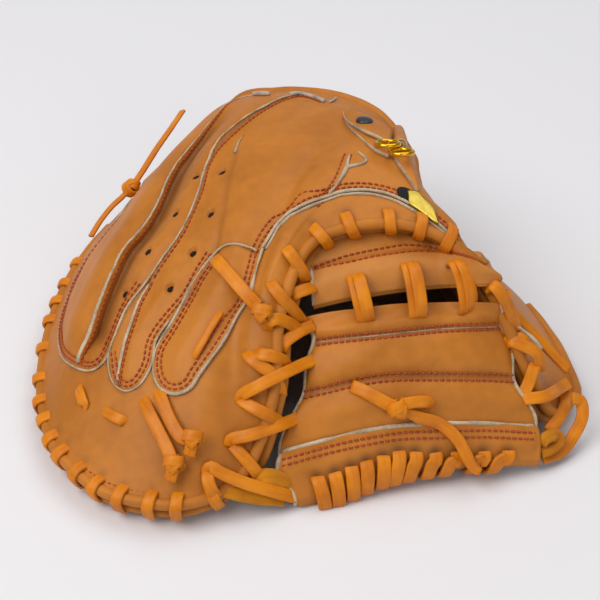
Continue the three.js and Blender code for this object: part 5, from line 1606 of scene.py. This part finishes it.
def make_wrist_details():
    """The raw ends of the stalls and of the little tab under the rolled wrist edge."""
    edges = Bundle()
    for pixels, height, radius in (
            ([(291, 101), (300, 99), (310, 101), (324, 107)], 1.0, 1.15),
            ([(336, 100), (333, 104), (329, 107)], 0.8, 0.6),
            ([(254, 97), (262, 97), (270, 98)], 1.2, 1.2)):
        edge_into(edges, back_line(smooth_line(back_view.line(pixels), 1.0), height), radius, 0.3)
    edges.piece("wrist_raw_edges", [GREY_RAW], "raw_edge")


make_back_leather()
make_palm_pad()
make_stall_seams()
make_ridges()
make_vents()
make_rolled_edges()
make_edge_laces()
make_web()
make_web_seams()
make_web_laces()
make_ties()
make_side_laces()
make_strap()
make_label_place()
make_wrist_details()


# Floor, light and camera

LIT_POINT = (0, 0, 0.05)
# Metres: how far the sheet runs in front and to the sides, where it starts to sweep up behind,
# the radius of its sweep, and its top
FLOOR_REACH = 9.0
SWEEP_FROM = 1.6
SWEEP_RADIUS = 0.9
SWEEP_TOP = 3.0


def make_stage():
    """A plain pale sheet under the mitt, swept up far behind it."""
    profile = [(-FLOOR_REACH, 0.0)]
    profile += [(SWEEP_FROM + SWEEP_RADIUS * math.sin(a), SWEEP_RADIUS * (1 - math.cos(a)))
                for a in np.linspace(0, math.pi / 2, 24)]
    profile.append((SWEEP_FROM + SWEEP_RADIUS, SWEEP_TOP))
    points = [(x, y, z) for x in (-FLOOR_REACH, FLOOR_REACH) for y, z in profile]
    count = len(profile)
    faces = [(k, k + count, k + count + 1, k + 1) for k in range(count - 1)]
    mesh = bpy.data.meshes.new("floor")
    mesh.from_pydata(points, [], faces)
    mesh.polygons.foreach_set("use_smooth", np.full(len(mesh.polygons), True))
    floor = bpy.data.objects.new("floor", mesh)
    bpy.context.scene.collection.objects.link(floor)
    material, _, shader = bare_material("white_paper")
    fill(shader, {"Base Color": srgb("#E4E3E6"), "Roughness": 0.9})
    mesh.materials.append(material)


def make_light(name, place, size, power, color):
    """A round soft light that looks at the mitt."""
    data = bpy.data.lights.new(name, "AREA")
    data.shape = "DISK"
    data.size = size
    data.energy = power
    data.color = color
    light = bpy.data.objects.new(name, data)
    light.location = place
    light.rotation_euler = (Vector(LIT_POINT) - Vector(place)).to_track_quat("-Z", "Y").to_euler()
    bpy.context.scene.collection.objects.link(light)


def make_camera():
    """The photograph's camera."""
    data = bpy.data.cameras.new("camera")
    data.sensor_width = 36.0
    data.lens = FOCAL / FRAME_PIXELS * data.sensor_width
    camera = bpy.data.objects.new("camera", data)
    camera.location = (EYE + SHIFT) * MM
    camera.rotation_euler = (math.pi / 2 - ELEVATION, 0, 0)
    bpy.context.scene.collection.objects.link(camera)
    bpy.context.scene.camera = camera


make_stage()
make_light("window", (-0.9, -0.5, 1.5), 1.3, 20, (1.0, 0.98, 0.95))
make_light("ceiling", (0.5, 0.6, 1.9), 1.8, 15, (1.0, 1.0, 1.0))
make_light("front", (0.8, -1.6, 0.9), 1.2, 5, (1.0, 0.98, 0.96))
world = bpy.data.worlds.new("room")
world.use_nodes = True
fill(world.node_tree.nodes["Background"], {"Color": srgb("#F2F3F6"), "Strength": 0.33})
bpy.context.scene.world = world
bpy.context.scene.view_settings.view_transform = "Standard"
make_camera()
